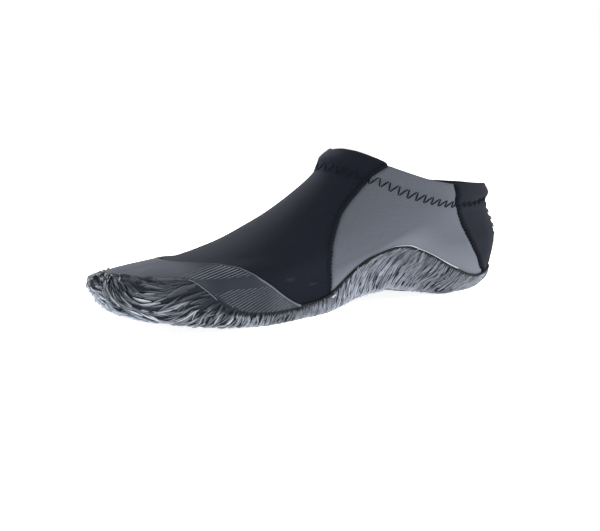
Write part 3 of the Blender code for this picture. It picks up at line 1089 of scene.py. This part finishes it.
# %% Measures of the cup
CUP_COLUMNS = 320
CUP_THETA = np.arange(CUP_COLUMNS + 1) * FULL_TURN / CUP_COLUMNS
CUP_SIDE_ROWS = 24
CUP_INSIDE = (1.0, 0.75, 0.5, 0.25, 0.0)
SUNK_FROM = (0.0, 0.15)
SUNK_TO = (0.9, 1.0)
RIM_ROUND = ((0.5, SOLE_WALL_RIM - 0.35), (0.7, SEAT_GAP + 0.4))
CUP_ACROSS = 24
GROOVE_DEPTH = 2.0
GROOVES = 16
GROOVE_SHARES = (0.05, 0.93)
GROOVE_SLOPE = (0.15, 0.75)
TREAD_RECESS = 0.5


def bed_height(x, y):
    """Top of the bed that carries the footbed."""
    return underside(x, y) + SOLE_BED


print("columns of the cup:", CUP_COLUMNS)


# %% Rows of the cup
def cup_rows():
    """Rows of the wrapped grid: tread's edge, corner, side, rim, and down inside to the bed."""
    rim = rim_level(CUP_THETA)
    rows = []
    for share in np.linspace(0, 1, CUP_SIDE_ROWS):
        run = share * (CORNER_RUN + rim)
        place, around, upward = on_side(CUP_THETA, run)
        sunk = STRAND_RECESS * soft_step(share, *SUNK_FROM) * (1 - soft_step(share, *SUNK_TO))
        rows.append(place - unit(np.cross(around, upward)) * sunk)
    for above, offset in RIM_ROUND:
        rows.append(wall(rim + above, CUP_THETA, offset))
    for share in CUP_INSIDE:
        rows.append(wall(rim * share, CUP_THETA, SEAT_GAP))
    bed = wall(0, CUP_THETA, SEAT_GAP)
    bed[:, 2] = bed_height(bed[:, 0], bed[:, 1])
    rows.append(bed)
    return np.array(rows)


def across_lines(rim, height):
    """Lines of points from side to side of a ring, with a height for the points inside it."""
    count = len(rim) - 1
    half = np.arange(1, count // 2)
    share = np.linspace(0, 1, CUP_ACROSS + 1)[:, None]
    lines = rim[half][:, None] * (1 - share) + rim[count - half][:, None] * share
    inside = np.ones(CUP_ACROSS + 1)
    inside[[0, -1]] = 0
    made = height(lines[..., 0].ravel(), lines[..., 1].ravel()).reshape(lines.shape[:2])
    lines[..., 2] += (made - lines[..., 2]) * inside
    return lines


def tread_height(x, y):
    """Underside with grooves between its bars, shallower towards the edge of the foot."""
    share = plan_share(x)
    station = np.arccos(2 * share - 1) / math.pi * GROOVES
    off = np.abs(station - np.rint(station)) * 4
    deep = soft_step(1 - off, *GROOVE_SLOPE) * ((share > GROOVE_SHARES[0]) & (share < GROOVE_SHARES[1]))
    return underside(x, y) + TREAD_RECESS + deep * (GROOVE_DEPTH - TREAD_RECESS)


# %% Join the cup
rows = cup_rows()
cup = lay_grid("cup_sole", rows)
tread = lay_grid("tread", across_lines(rows[0], tread_height))
bed = lay_grid("bed", across_lines(rows[-1], bed_height))
choose(cup)
tread.select_set(True)
bed.select_set(True)
bpy.ops.object.join()
edit_all(cup, merge_points, fill_open_edges, turn_outwards)
bpy.ops.object.shade_smooth_by_angle(angle=math.radians(50))
finish_piece(cup, sole_rubber, "sole_rubber", "outsole")

# %% [markdown]
# ## Strands of the sole
#
# The sole's side looks like grass pressed into the mould: long crossing leaves round the toe, short blades
# at the ball, and straight slanted lines in the arch and at the heel. A height map would blur them, so each
# strand is a slim three-sided bar that runs along the side by its own slant. One table says how the strands
# change along the foot, and the draws are seeded, so every run gives the same sole. The strands of each side
# are joined in one piece.

# %% How the strands lie
# In this table dim is painted shade that darkens the strands towards the rim, and foot is painted light that
# pales them near the tread's edge.
STRAND_FIELDS = ("share", "slant", "tuft", "spread", "length", "width", "height", "over", "tone", "dim",
                 "foot", "leaf")
STRANDS = (
    (0.00, 42.0, 2.5, 5.0, 10.0, 0.80, 0.85, 0.3, 1.05, 0.10, 0.05, 0.0),
    (0.12, 47.0, 2.5, 5.0, 10.0, 0.80, 0.85, 0.3, 0.86, 0.05, 0.00, 0.0),
    (0.25, 58.0, 3.0, 5.0, 10.0, 0.80, 0.85, 0.3, 0.92, 0.05, 0.00, 0.0),
    (0.38, 74.0, 4.0, 6.0, 9.0, 0.80, 0.85, 0.3, 1.13, 0.15, 0.30, 0.0),
    (0.48, 76.0, 5.0, 6.0, 7.0, 0.90, 0.80, 0.3, 1.05, 0.15, 0.25, 0.0),
    (0.58, 74.0, 6.0, 7.0, 5.5, 0.90, 0.80, 0.6, 0.75, 0.40, 0.20, 0.0),
    (0.64, 68.0, 7.0, 7.5, 6.0, 1.00, 0.85, 1.0, 0.63, 0.50, 0.15, 0.1),
    (0.70, 58.0, 8.0, 8.0, 7.0, 1.15, 0.90, 1.6, 0.90, 0.60, 0.35, 0.3),
    (0.78, 38.0, 9.0, 9.0, 9.0, 1.90, 1.15, 2.0, 0.90, 0.85, 0.35, 0.8),
    (0.86, 18.0, 10.0, 9.0, 14.0, 2.50, 1.40, 1.5, 0.80, 0.85, 0.30, 1.0),
    (0.92, 0.0, 11.0, 10.0, 13.0, 2.40, 1.40, 1.2, 0.95, 0.75, 0.50, 1.0),
    (0.955, -14.0, 12.0, 12.0, 10.0, 2.00, 1.30, 0.6, 0.95, 0.85, 0.60, 1.0),
    (1.00, -30.0, 14.0, 16.0, 7.0, 1.50, 1.20, 0.3, 1.20, 0.95, 0.40, 1.0),
)
STRAND_SEED = 11
HALF_STEPS = 5
BLADE_COVER = 2.1
LEAF_COVER = 1.85
STRAND_SINK = 0.9
STRAND_LAYER = 0.55
BLADE_LEAN = 0.6
LEAF_LEAN = 0.75
# Flank and face are shares of the crest's tone: painted shade on the flanks, and a lighter painted face on
# leaves. PALE_RUN and DIM_CLIMB place the painted light at the foot and the painted shade near the rim.
STRAND_FLANK = 0.08
LEAF_FACE = 0.24
PALE_RUN = (3.0, 13.0)
DIM_CLIMB = (0.2, 0.7)
LOW_TURN = 0.8
STRAND_FILL = 0.7
LENGTH_DRAW = (0.6, 1.3)
WIDTH_DRAW = (0.5, 1.3)
HEIGHT_DRAW = (0.7, 1.2)
PALE_DRAW = (0.3, 1.0)
TONE_TOP = 1.1
TONE_FALL = 0.8
LEAF_FALL = 0.15
TONE_BIAS = 2.2
TAPER_ENDS = (0.06, 0.94)
TAPER_POWER = 0.7
END_HEIGHT = 0.35
LOWEST_POINT = 0.05
FOOT_DRAW = 3.0
SECTORS = 120
LOWEST_RUN = 0.6
TUFT_ALONG = 6.0
TUFT_UP = 4.5


def strand_value(name, theta):
    """A column of the strand table round the foot."""
    return column(STRANDS, STRAND_FIELDS, name, "share", foot_share(theta))


def strand_slant(theta, run, spread):
    """Direction of strands in radians: the table's slant, swung in tufts, and each one's own turn."""
    along = foot_share(theta) * FEATHER_LENGTH / TUFT_ALONG
    climb = run / TUFT_UP
    swing = np.sin(along + 1.3 * np.sin(climb)) + 0.6 * np.sin(1.9 * along - climb + 2)
    low = 1 - np.clip(run / (CORNER_RUN + rim_level(theta)), 0, 1)
    slant = strand_value("slant", theta) * (1 + LOW_TURN * strand_value("leaf", theta) * low)
    return np.radians(slant + strand_value("tuft", theta) * swing + spread)


print("rows in the table of strands:", len(STRANDS))


# %% Scatter and grow them
def scatter_strands(draw):
    """Angles and runs of the strands' middles, as many as cover the side evenly."""
    edges = np.linspace(-math.pi, math.pi, SECTORS + 1)
    thetas = []
    runs = []
    for low, high in zip(edges[:-1], edges[1:]):
        middle = np.array([(low + high) / 2])
        tall = CORNER_RUN + rim_level(middle)[0]
        around, upward = on_side(middle, np.array([tall / 2]))[1:]
        area = np.linalg.norm(around) * (high - low) * np.linalg.norm(upward) * tall
        one = STRAND_FILL * strand_value("length", middle)[0] * strand_value("width", middle)[0]
        cover = BLADE_COVER + (LEAF_COVER - BLADE_COVER) * strand_value("leaf", middle)[0]
        count = int(round(cover * area / one + draw.uniform(-0.5, 0.5)))
        thetas.append(draw.uniform(low, high, count))
        runs.append(np.maximum(draw.uniform(LOWEST_RUN - FOOT_DRAW, tall, count), LOWEST_RUN))
    return np.concatenate(thetas), np.concatenate(runs)


def grow(theta, run, spread, over, step):
    """Track of half a strand from its middle by signed steps, and how many of them stay on the side."""
    heelward = np.where(np.sin(theta) >= 0, 1.0, -1.0)
    at, up = theta, run
    on = np.ones(len(theta), bool)
    kept = np.zeros(len(theta))
    track = []
    for number in range(HALF_STEPS):
        around, upward = on_side(at, up)[1:]
        angle = strand_slant(at, up, spread)
        at = at + step * np.cos(angle) * heelward / np.linalg.norm(around, axis=1)
        up = up + step * np.sin(angle) / np.linalg.norm(upward, axis=1)
        ceiling = CORNER_RUN + rim_level(at) + over
        on &= (up > LOWEST_RUN) & (up < ceiling)
        kept += on
        up = np.clip(up, LOWEST_RUN, ceiling)
        track.append((at, up))
    return track, kept


# %% Shape each strand
def strand_sections(draw):
    """Left, crest and right points along each strand, and a painted light and shade for each of them."""
    theta, run = scatter_strands(draw)
    count = len(theta)
    heelward = np.where(np.sin(theta) >= 0, 1.0, -1.0)
    leaf = strand_value("leaf", theta)
    spread = strand_value("spread", theta) * draw.normal(size=count)
    length = strand_value("length", theta) * draw.uniform(*LENGTH_DRAW, count)
    width = strand_value("width", theta) * draw.uniform(*WIDTH_DRAW, count)
    height = strand_value("height", theta) * draw.uniform(*HEIGHT_DRAW, count)
    over = strand_value("over", theta) * draw.uniform(0, 1, count)
    layer = STRAND_LAYER * draw.uniform(0, 1, count)
    lean = BLADE_LEAN * draw.uniform(-1, 1, count) * (1 - leaf) + LEAF_LEAN * leaf * heelward
    fall = (TONE_FALL + LEAF_FALL * leaf) * draw.uniform(0, 1, count)**(TONE_BIAS - leaf)
    tone = strand_value("tone", theta) * (TONE_TOP - fall)
    pale = strand_value("foot", theta) * draw.uniform(*PALE_DRAW, count)

    track = [(theta, run)]
    for way in (-1, 1):
        step = length / 2 / HALF_STEPS
        kept = grow(theta, run, spread, over, way * step)[1]
        half = grow(theta, run, spread, over, way * step * np.maximum(kept, 1) / HALF_STEPS)[0]
        track = track + half if way > 0 else half[::-1] + track
    theta = np.array([at for at, _ in track])
    run = np.array([up for _, up in track])

    centre, around, upward = on_side(theta, run)
    normal = unit(np.cross(around, upward))
    forward = unit(np.gradient(centre, axis=0) + 1e-6 * around)
    side = np.cross(normal, forward)
    taper = np.sin(np.linspace(*TAPER_ENDS, 2 * HALF_STEPS + 1) * math.pi)[:, None, None]**TAPER_POWER
    half = side * (width / 2)[:, None] * taper
    lift = normal * layer[:, None]
    floor = centre + lift - normal * STRAND_SINK
    tall = normal * (STRAND_SINK + height[:, None] - STRAND_RECESS)
    crest = floor + tall * (END_HEIGHT + (1 - END_HEIGHT) * taper) + half * lean[:, None]
    sections = np.stack([floor - half, crest, floor + half], axis=2)
    sections[..., 2] = np.maximum(sections[..., 2], LOWEST_POINT)
    # Painted light and shade: a painted highlight on each crest and painted shade on its flanks, darker
    # towards the rim where the side is shaded, and paler near the tread's edge where the floor lights it.
    climb = (run - CORNER_RUN) / rim_level(theta)
    lit = tone * (1 - strand_value("dim", theta) * soft_step(climb, *DIM_CLIMB))
    lit += pale * (1 - soft_step(run, *PALE_RUN))
    upper = STRAND_FLANK * lit
    lower = upper + LEAF_FACE * leaf * lit
    inner_side = heelward > 0
    shade = np.stack([np.where(inner_side, lower, upper), lit, np.where(inner_side, upper, lower)], axis=2)
    return sections.transpose(1, 0, 2, 3), shade.transpose(1, 0, 2)


# %% Join the strands
def strand_piece(name, sections, shade):
    """Strands joined in one mesh, with their shade."""
    strands = ribbons(name, sections)
    carry(strands, "shade", shade)
    edit_all(strands, turn_outwards)
    bpy.ops.object.shade_smooth_by_angle(angle=math.radians(60))
    finish_piece(strands, strand_rubber, "sole_rubber", "outsole")
    print(name, len(sections), "strands")


sections, shade = strand_sections(np.random.default_rng(STRAND_SEED))
on_inner = sections[:, 0, 1, 1] > 0
strand_piece("strands_inner", sections[on_inner], shade[on_inner])
strand_piece("strands_outer", sections[~on_inner], shade[~on_inner])

# %% [markdown]
# ## Painted shade and highlight at the rim
#
# Where the cup's rim is cemented to the neoprene, a black line along it is painted shade in the gap between
# them. Over the arch a pale thread above it is a painted highlight along the rim's edge, and one pale bead
# sits at the foot of the vamp's seam. A thin flash of the mould runs along the rim at the toe. All are thin
# tubes laid along the rim's level.

# %% Lay the painted shade line
RIM_SHADOW_RADIUS = 0.8
RIM_SHADOW_ABOVE = 0.5
RIM_SHADOW_OFFSET = 0.95
RIM_SHADOW_START = math.radians(50.0)
HIGHLIGHT_RADIUS = 0.42
HIGHLIGHT_ABOVE = 1.5
HIGHLIGHT_OFFSET = 0.35
HIGHLIGHT_SHARES = (0.42, 0.165)
BEAD_ANGLES = (89.3, 90.4)
BEAD_ABOVE = -1.2
BEAD_OFFSET = 2.7
FLASH_RADIUS = 0.22
FLASH_ABOVE = 0.1
FLASH_OFFSET = 1.9
FLASH_SHARES = (0.93, 0.79)
# A black tube of painted shade in the gap where the rim meets the neoprene.
rim_shadow_rubber = rubber("rim_shadow_rubber", (0.005, 0.0055, 0.007), (0.011, 0.012, 0.0145), 0.6, 0.2, 0.1)
# Pale tubes: a painted highlight along the rim over the arch, and a pale bead at the foot of the vamp's seam.
rim_highlight_and_bead = rubber("rim_highlight_and_bead", (0.38, 0.40, 0.44), (0.60, 0.62, 0.66), 0.8, 0.3, 0.2)


def rim_line(theta, above, offset):
    """Path along the sole's rim, a little above it."""
    return wall(rim_level(theta) + above, theta, offset)


def between_shares(shares, count):
    """Angles on the inner side between two shares of the foot's length."""
    return np.linspace(*(math.acos(2 * share - 1) for share in shares), count)


def on_both_sides(theta, above, offset):
    """Rim paths on the inner side and on the outer side."""
    return [rim_line(side * theta, above, offset) for side in (1, -1)]


# Painted shade along the rim, from the inner side round the heel.
rim_shadowed = np.linspace(RIM_SHADOW_START, FULL_TURN - RIM_SHADOW_START, 401)
rim_shadow = thread("rim_shadow_line", [rim_line(rim_shadowed, RIM_SHADOW_ABOVE, RIM_SHADOW_OFFSET)], RIM_SHADOW_RADIUS)
finish_piece(rim_shadow, rim_shadow_rubber, "sole_rubber")

# %% Flash, painted highlight and bead
flashed = on_both_sides(between_shares(FLASH_SHARES, 61), FLASH_ABOVE, FLASH_OFFSET)
flash = thread("toe_flash", flashed, FLASH_RADIUS)
finish_piece(flash, rib_rubber, "sole_rubber")
bead = np.radians(np.linspace(*BEAD_ANGLES, 5))
# The line over the arch, on both sides, is a painted highlight; the bead is pale.
highlight_and_bead_paths = on_both_sides(between_shares(HIGHLIGHT_SHARES, 81), HIGHLIGHT_ABOVE, HIGHLIGHT_OFFSET)
highlight_and_bead_paths.append(rim_line(bead, BEAD_ABOVE, BEAD_OFFSET))
highlight_and_bead_tubes = thread("rim_highlight_and_bead_tubes", highlight_and_bead_paths, HIGHLIGHT_RADIUS)
finish_piece(highlight_and_bead_tubes, rim_highlight_and_bead, "sole_rubber")

# %% [markdown]
# ## The toe guard
#
# A thin rubber sheet, moulded with fine slanted ribs, is glued over the toes and ends in a rounded, paler
# edge. The sheet is a laid grid with a quarter-round edge. The ribs run in two groups, with a smooth band
# between them where the toes bend the guard. The low ones run straight in the flat sheet, so they are found
# where a slanted count of millimetres along and up the guard comes to a whole number. The high ones lie
# where parallel planes, which rise to the heel and lean over the toes, cut the sheet.

# %% Guard sheet
GUARD_FIELDS = ("share", "inner", "outer")
GUARD_EDGE = (
    (0.00, 4.0, 5.0),
    (0.57, 4.0, 5.5),
    (0.595, 7.0, 7.5),
    (0.63, 14.0, 14.0),
    (0.68, 22.5, 22.5),
    (0.74, 30.0, 30.0),
    (0.82, 35.0, 35.0),
    (0.90, 37.5, 37.5),
    (1.00, 38.5, 38.5),
)
GUARD_REACH = math.radians(81.5)
GUARD_FACE = 1.5
GUARD_THICKNESS = 0.9
GUARD_ROUND = 1.3
GUARD_BEAD = 0.22
GUARD_BEAD_WIDTH = 0.6
GUARD_FOOT = 0.35
GUARD_TUCK = 0.6
GUARD_LEAST = 0.8
GUARD_CROWD = 0.8
GUARD_COLUMNS = 180
GUARD_ROWS = 48
GUARD_FRONT_SPAN = (221.0, 241.0)
GUARD_REAR_SPAN = (178.0, 202.0)
GUARD_REAR = 0.14
GUARD_FRONT = 0.14
GUARD_EDGE_TONE = 0.7
GUARD_EDGE_WIDTH = 0.55


def guard_edge(theta):
    """Ring level of the guard's upper edge."""
    return round_the_foot(GUARD_EDGE, GUARD_FIELDS, theta)


print("guard's edge at the toe, level:", round(float(guard_edge(np.zeros(1))[0]), 1))


# %% Lay the guard
def guard_points():
    """Rows of the guard from under the sole's rim up to its edge, and their distance from that edge."""
    theta = np.linspace(-GUARD_REACH, GUARD_REACH, GUARD_COLUMNS + 1)
    low = rim_level(theta) - GUARD_TUCK
    high = np.maximum(guard_edge(theta), low + GUARD_LEAST)
    share = np.linspace(0, 1, GUARD_ROWS + 1)[:, None]**GUARD_CROWD
    level = low + (high - low) * share
    theta = theta + 0 * level
    run = lengths(wall(level, theta, GUARD_FACE), 0)
    from_edge = run[[-1]] - run
    quarter = np.sqrt(1 - (1 - np.clip(from_edge / GUARD_ROUND, 0, 1))**2)
    bead = GUARD_BEAD * np.exp(-((from_edge - GUARD_ROUND) / GUARD_BEAD_WIDTH)**2)
    offset = GUARD_FOOT + (GUARD_FACE - GUARD_FOOT) * quarter + bead
    return wall(level, theta, offset), from_edge.ravel()


def guard_shade(piece, from_edge):
    """Paler over the toes, at the rear and along its upper edge."""
    count = len(piece.data.vertices)
    place = np.empty(3 * count)
    piece.data.vertices.foreach_get("co", place)
    x = place.reshape(-1, 3)[:, 0] / MM + HEEL_SHIFT[0]
    worn = GUARD_REAR * (1 - soft_step(x, *GUARD_REAR_SPAN)) + GUARD_FRONT * soft_step(x, *GUARD_FRONT_SPAN)
    edge = np.zeros(count)
    edge[:len(from_edge)] = GUARD_EDGE_TONE * np.exp(-((from_edge - GUARD_ROUND / 2) / GUARD_EDGE_WIDTH)**2)
    carry(piece, "shade", np.maximum(worn, edge))


points, from_edge = guard_points()
guard = lay_grid("toe_guard", points)
thicken(guard, GUARD_THICKNESS)
guard_shade(guard, from_edge)
bpy.ops.object.shade_smooth_by_angle(angle=math.radians(60))
finish_piece(guard, guard_rubber, "cap_rubber", "toe_cap")

# %% Guard ribs
LOW_PITCH = 1.6
HIGH_PITCH = 1.4
LOW_HALF = 0.2
HIGH_HALF = 0.13
RIB_HEIGHT = 0.4
RIB_MARGIN = 0.7
RIB_COLUMNS = 241
RIB_FOOT = -0.12
RIB_TAPER = 2.0
RIB_FADE = (37.0, 50.0)
LOW_SLANT = math.radians(28.0)
HIGH_PLANE = np.array((0.25, -0.26, 0.93))
HIGH_LEVELS = (25.0, 38.0)
HIGH_ANGLES = (33.0, 70.0)
SMOOTH_FIELDS = ("angle", "low", "high")
SMOOTH_BAND = (
    (0.0, 14.0, 29.0),
    (46.0, 14.0, 26.6),
    (53.0, 17.2, 26.8),
    (56.0, 19.6, 27.2),
    (59.0, 21.0, 27.7),
    (64.0, 21.4, 28.2),
    (70.0, 21.6, 28.5),
    (82.0, 21.6, 28.5),
)


def low_ribs(level, theta):
    """Height over the sheet of the ribs under the smooth band."""
    bound = column(SMOOTH_BAND, SMOOTH_FIELDS, "low", "angle", from_toe(theta))
    return RIB_HEIGHT * (1 - soft_step(level, bound - RIB_TAPER, bound))


def high_ribs(level, theta):
    """Height over the sheet of the ribs above the smooth band, which are worn away over the toes."""
    angle = from_toe(theta)
    bound = column(SMOOTH_BAND, SMOOTH_FIELDS, "high", "angle", angle)
    return RIB_HEIGHT * soft_step(level, bound, bound + RIB_TAPER) * soft_step(angle, *RIB_FADE)


print("rows of the smooth band:", len(SMOOTH_BAND))


# %% Raise the ribs
def raised(level, theta, fits, height):
    """Left, crest and right points of a rib along three lines, over the stretches that lie in the guard."""
    inside = fits & (height(level[1], theta[1]) > 0)
    for at, angle in zip(level, theta):
        inside &= (at > rim_level(angle) + RIB_MARGIN) & (at < guard_edge(angle) - RIB_MARGIN)
    sections = []
    for stretch in np.split(np.arange(len(inside)), np.flatnonzero(np.diff(inside)) + 1):
        if inside[stretch[0]] and len(stretch) > 2:
            lifts = (RIB_FOOT, height(level[1][stretch], theta[1][stretch]), RIB_FOOT)
            points = [wall(at[stretch], angle[stretch], GUARD_FACE + lift)
                      for at, angle, lift in zip(level, theta, lifts)]
            sections.append(np.stack(points, axis=1))
    return sections


def rib_lines(count, values, half):
    """For each whole number in a count, where its two feet and its crest lie in every row of it."""
    for number in range(math.ceil(count.min()), math.floor(count.max()) + 1):
        lines = [np.array([np.interp(number + off, row, values) for row in count])
                 for off in (-half, 0.0, half)]
        yield lines, (number - half > count[:, 0]) & (number + half < count[:, -1])


def low_sections():
    """The ribs under the smooth band, which are straight in the flat sheet."""
    theta = np.linspace(-GUARD_REACH, GUARD_REACH, RIB_COLUMNS)
    level = np.linspace(0, TOP_LEVEL / 2, 120)
    upward = lengths(wall(level[:, None], theta, GUARD_FACE), 0)
    along = lengths(wall(FEATHER_LEVEL, theta, GUARD_FACE)[None], 1)[0]
    count = (upward * math.cos(LOW_SLANT) - (along - along.mean()) * math.sin(LOW_SLANT)) / LOW_PITCH
    return [section for lines, fits in rib_lines(count.T, level, LOW_HALF)
            for section in raised(lines, [theta] * 3, fits, low_ribs)]


def high_sections(side):
    """The ribs above the smooth band on one side, which lie in parallel planes."""
    theta = side * np.radians(np.linspace(*HIGH_ANGLES, 161))
    level = np.linspace(*HIGH_LEVELS, 66)
    face = wall(level[:, None], theta, GUARD_FACE)
    count = -face @ (HIGH_PLANE * (1, side, 1)) / HIGH_PITCH
    return [section for lines, fits in rib_lines(count, theta, HIGH_HALF)
            for section in raised([level] * 3, lines, fits, high_ribs)]


rib_list = low_sections() + high_sections(1) + high_sections(-1)
ribs = ribbons("toe_guard_ribs", rib_list)
edit_all(ribs, turn_outwards)
finish_piece(ribs, rib_rubber, "cap_rubber", "toe_cap")
print("ribs:", len(rib_list))

# %% [markdown]
# ## Stitching
#
# Three kinds of stitch hold the panels: a wide zigzag under the hem all round the collar, a narrow one that
# covers each seam on its black side, and a coarse one over the ridge up the heel. All are thread tubes on a
# path across the last that dips into the cloth at each turn, which is how a machine's needle leaves it.

# %% Thread
TWIST = {"Scale": 900.0, "Distortion": 2.0}
TWIST_HEIGHT = 0.0001
TWIST_BUMP = 0.4
THREAD_TONES = ((0.0030, 0.0038, 0.0064), (0.0080, 0.0096, 0.0150))
LEG_POINTS = 6
LEG_ROUND = 0.6


def thread_material():
    """Black twisted polyester."""
    made, tree, shader = blank_material("black_thread")
    place = node(tree, "ShaderNodeTexCoord").outputs["Object"]
    wave = node(tree, "ShaderNodeTexWave", {"Vector": place, **TWIST}, bands_direction="DIAGONAL")
    twist = wave.outputs["Fac"]
    set_inputs(tree, shader, {"Base Color": mixed(tree, twist, *THREAD_TONES),
                              "Normal": bumped(tree, twist, TWIST_BUMP, TWIST_HEIGHT),
                              "Roughness": 0.8, "Specular IOR Level": 0.04})
    return made


black_thread = thread_material()
print("thread:", black_thread.name)


def stitch_path(level, theta, depth, rise):
    """Path through corner points on the last, in the cloth at each corner and proud between them."""
    leg = np.linspace(0, 1, LEG_POINTS)[:-1]
    levels = (level[:-1, None] * (1 - leg) + level[1:, None] * leg).ravel()
    thetas = (theta[:-1, None] * (1 - leg) + theta[1:, None] * leg).ravel()
    offset = np.tile(-depth + (depth + rise) * np.sin(leg * math.pi)**LEG_ROUND, len(level) - 1)
    return wall(levels, thetas, offset + cloth_relief(levels, thetas))


def corners_up(level, theta, pitch):
    """Levels of a zigzag's corners up a line, two in each pitch, and which of them are on its first side."""
    run = lengths(wall(level, theta, 0)[None], 1)[0]
    count = int(run[-1] / pitch * 2)
    corner = np.interp(np.linspace(0, run[-1], count), run, level)
    return corner, np.arange(count) % 2 == 0


# %% Zigzag under the hem
PITCH_FIELDS = ("angle", "pitch")
ZIGZAG_PITCH = (
    (0.0, 7.4),
    (60.0, 7.2),
    (120.0, 5.4),
    (180.0, 5.4),
)
ZIGZAG_HALF = 3.3
ZIGZAG_PEAK = 0.66
THREAD_RADIUS = 0.48
HEM_STITCH = (0.9, 0.15)


def hem_zigzag():
    """Corner levels and angles of the zigzag round the collar, closer together towards the heel."""
    theta = np.linspace(0, FULL_TURN, 1441)
    run = lengths(wall(HEM_LEVEL, theta, 0)[None], 1)[0]
    pitch = column(ZIGZAG_PITCH, PITCH_FIELDS, "pitch", "angle", from_toe(theta))
    turns = np.concatenate([[0], np.cumsum(np.diff(run) / pitch[1:])])
    count = int(round(turns[-1]))
    low = np.arange(count + 1)
    corner = np.sort(np.concatenate([low, low[:-1] + ZIGZAG_PEAK]))
    angle = np.interp(corner, turns * count / turns[-1], theta)
    swing = np.append(np.tile([-ZIGZAG_HALF, ZIGZAG_HALF], count), -ZIGZAG_HALF)
    return hem_line(angle) + swing, angle


hem_level, hem_theta = hem_zigzag()
hem_path = stitch_path(hem_level, hem_theta, *HEM_STITCH)
hem_stitch = thread("hem_stitch", [hem_path], THREAD_RADIUS, closed=True)
finish_piece(hem_stitch, black_thread, "seam_tape")

# %% Cover stitch on the seams
COVER_PITCH = 2.4
COVER_BACK = 5.4
COVER_RADIUS = 0.3
COVER_STITCH = (0.45, 0.42)
SMALL_TURN = 0.01


def cover_path(seam, black_side, over, mirror):
    """Narrow zigzag along a seam from the sole's rim to the collar, mostly on its black side."""
    level = np.linspace(0, TOP_LEVEL, 400)
    theta = seam_angle(seam, level)
    level = level[level > rim_level(mirror * theta) - 1.0]
    corner, first = corners_up(level, seam_angle(seam, level), COVER_PITCH)
    angle = seam_angle(seam, corner)
    turned = wall(corner, angle + SMALL_TURN, 0) - wall(corner, angle, 0)
    reach = np.linalg.norm(turned, axis=1) / SMALL_TURN
    away = np.where(first, -over, COVER_BACK) * black_side
    return stitch_path(corner, mirror * (angle + away / reach), *COVER_STITCH)


COVERED = ((VAMP_SEAM, -1, 0.1), (HEEL_SEAM, 1, 0.8))
cover_paths = [cover_path(*seam_row, mirror) for seam_row in COVERED for mirror in (1, -1)]
cover_stitch = thread("cover_stitch", cover_paths, COVER_RADIUS)
finish_piece(cover_stitch, black_thread, "seam_tape")

# %% Ridge up the heel
RIDGE_HALF = 0.14
RIDGE_CREST = 1.7
RIDGE_PITCH = 4.8
RIDGE_WAVE = 0.2
RIDGE_SEAT = 0.1
RIDGE_ROUND = 0.8
RIDGE_THICKNESS = 0.5
RIDGE_REACH = 1.15
RIDGE_STITCH = (0.2, RIDGE_CREST + 0.5)
RIDGE_START = rim_level(math.pi) + SEAT_GAP


def ridge_points():
    """Rows of the raised seam from the sole's rim to the hem."""
    side = np.linspace(-1, 1, 17)
    level = np.linspace(RIDGE_START, HEM_LEVEL + 2, 145)[:, None]
    run = lengths(wall(level[:, 0], math.pi + 0 * level[:, 0], 0)[None], 1)[0][:, None]
    crest = RIDGE_CREST * (1 - RIDGE_WAVE + RIDGE_WAVE * np.cos(run / RIDGE_PITCH * FULL_TURN))
    theta = math.pi + RIDGE_HALF * side
    proud = RIDGE_SEAT + crest * np.cos(side * math.pi / 2)**RIDGE_ROUND
    return wall(level, theta, cloth_relief(level, theta) + proud)


def ridge_path():
    """Coarse zigzag over the ridge."""
    level = np.linspace(RIDGE_START, HEM_LEVEL, 300)
    corner, first = corners_up(level, math.pi + 0 * level, RIDGE_PITCH)
    theta = math.pi + RIDGE_HALF * RIDGE_REACH * np.where(first, -1, 1)
    return stitch_path(corner, theta, *RIDGE_STITCH)


ridge = lay_grid("heel_ridge", ridge_points())
thicken(ridge, RIDGE_THICKNESS)
bpy.ops.object.shade_smooth()
finish_piece(ridge, black_jersey, "seam_tape", "heel_seam")
ridge_stitch = thread("heel_ridge_stitch", [ridge_path()], THREAD_RADIUS)
finish_piece(ridge_stitch, black_thread, "seam_tape")

# %% [markdown]
# ## Footbed
#
# A foam sheet with a cloth top lies on the bed of the cup, dished a little along its middle. It shows only
# through the collar. Laid lines from side to side give its top, and a thickened sheet is enough for its edge.

# %% Lay the footbed
FOOTBED_TOP = 8.7
FOOTBED_THICKNESS = 2.9
FOOTBED_GAP = 3.4
FOOTBED_DISH = 0.5
footbed_cloth = jersey("footbed_cloth", (0.25, 0.255, 0.26), (0.34, 0.345, 0.35), 8.0, 0.5, 0.1)


def footbed_ring():
    """Edge of the footbed, just inside the lining."""
    ring = wall(0, CUP_THETA, -FOOTBED_GAP)
    ring[:, 2] = underside(ring[:, 0], ring[:, 1]) + FOOTBED_TOP
    return ring


def footbed_height(x, y):
    """Top of the footbed, dished along its middle."""
    middle = 1 - np.clip(np.abs(y) / FEATHER["inner"], 0, 1)**2
    return underside(x, y) + FOOTBED_TOP - FOOTBED_DISH * middle


lines = across_lines(footbed_ring(), footbed_height)
footbed = lay_grid("footbed", lines[:, ::-1])
thicken(footbed, FOOTBED_THICKNESS)
bpy.ops.object.shade_smooth_by_angle(angle=math.radians(50))
finish_piece(footbed, footbed_cloth, "insole_foam", "insole")

# %% [markdown]
# ## Sizes and the last line
#
# Both boxes, the solid part's and the dressed bootie's, are printed for comparison. The dressed
# bootie has to keep the solid part's box.

# %% Print the boxes and finish
dressed_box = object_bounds()
for side, solid, dressed in zip(("low", "high"), solid_box, dressed_box):
    print(side, "solid mm", [round(v / MM, 1) for v in solid])
    print(side, "dressed mm", [round(v / MM, 1) for v in dressed])
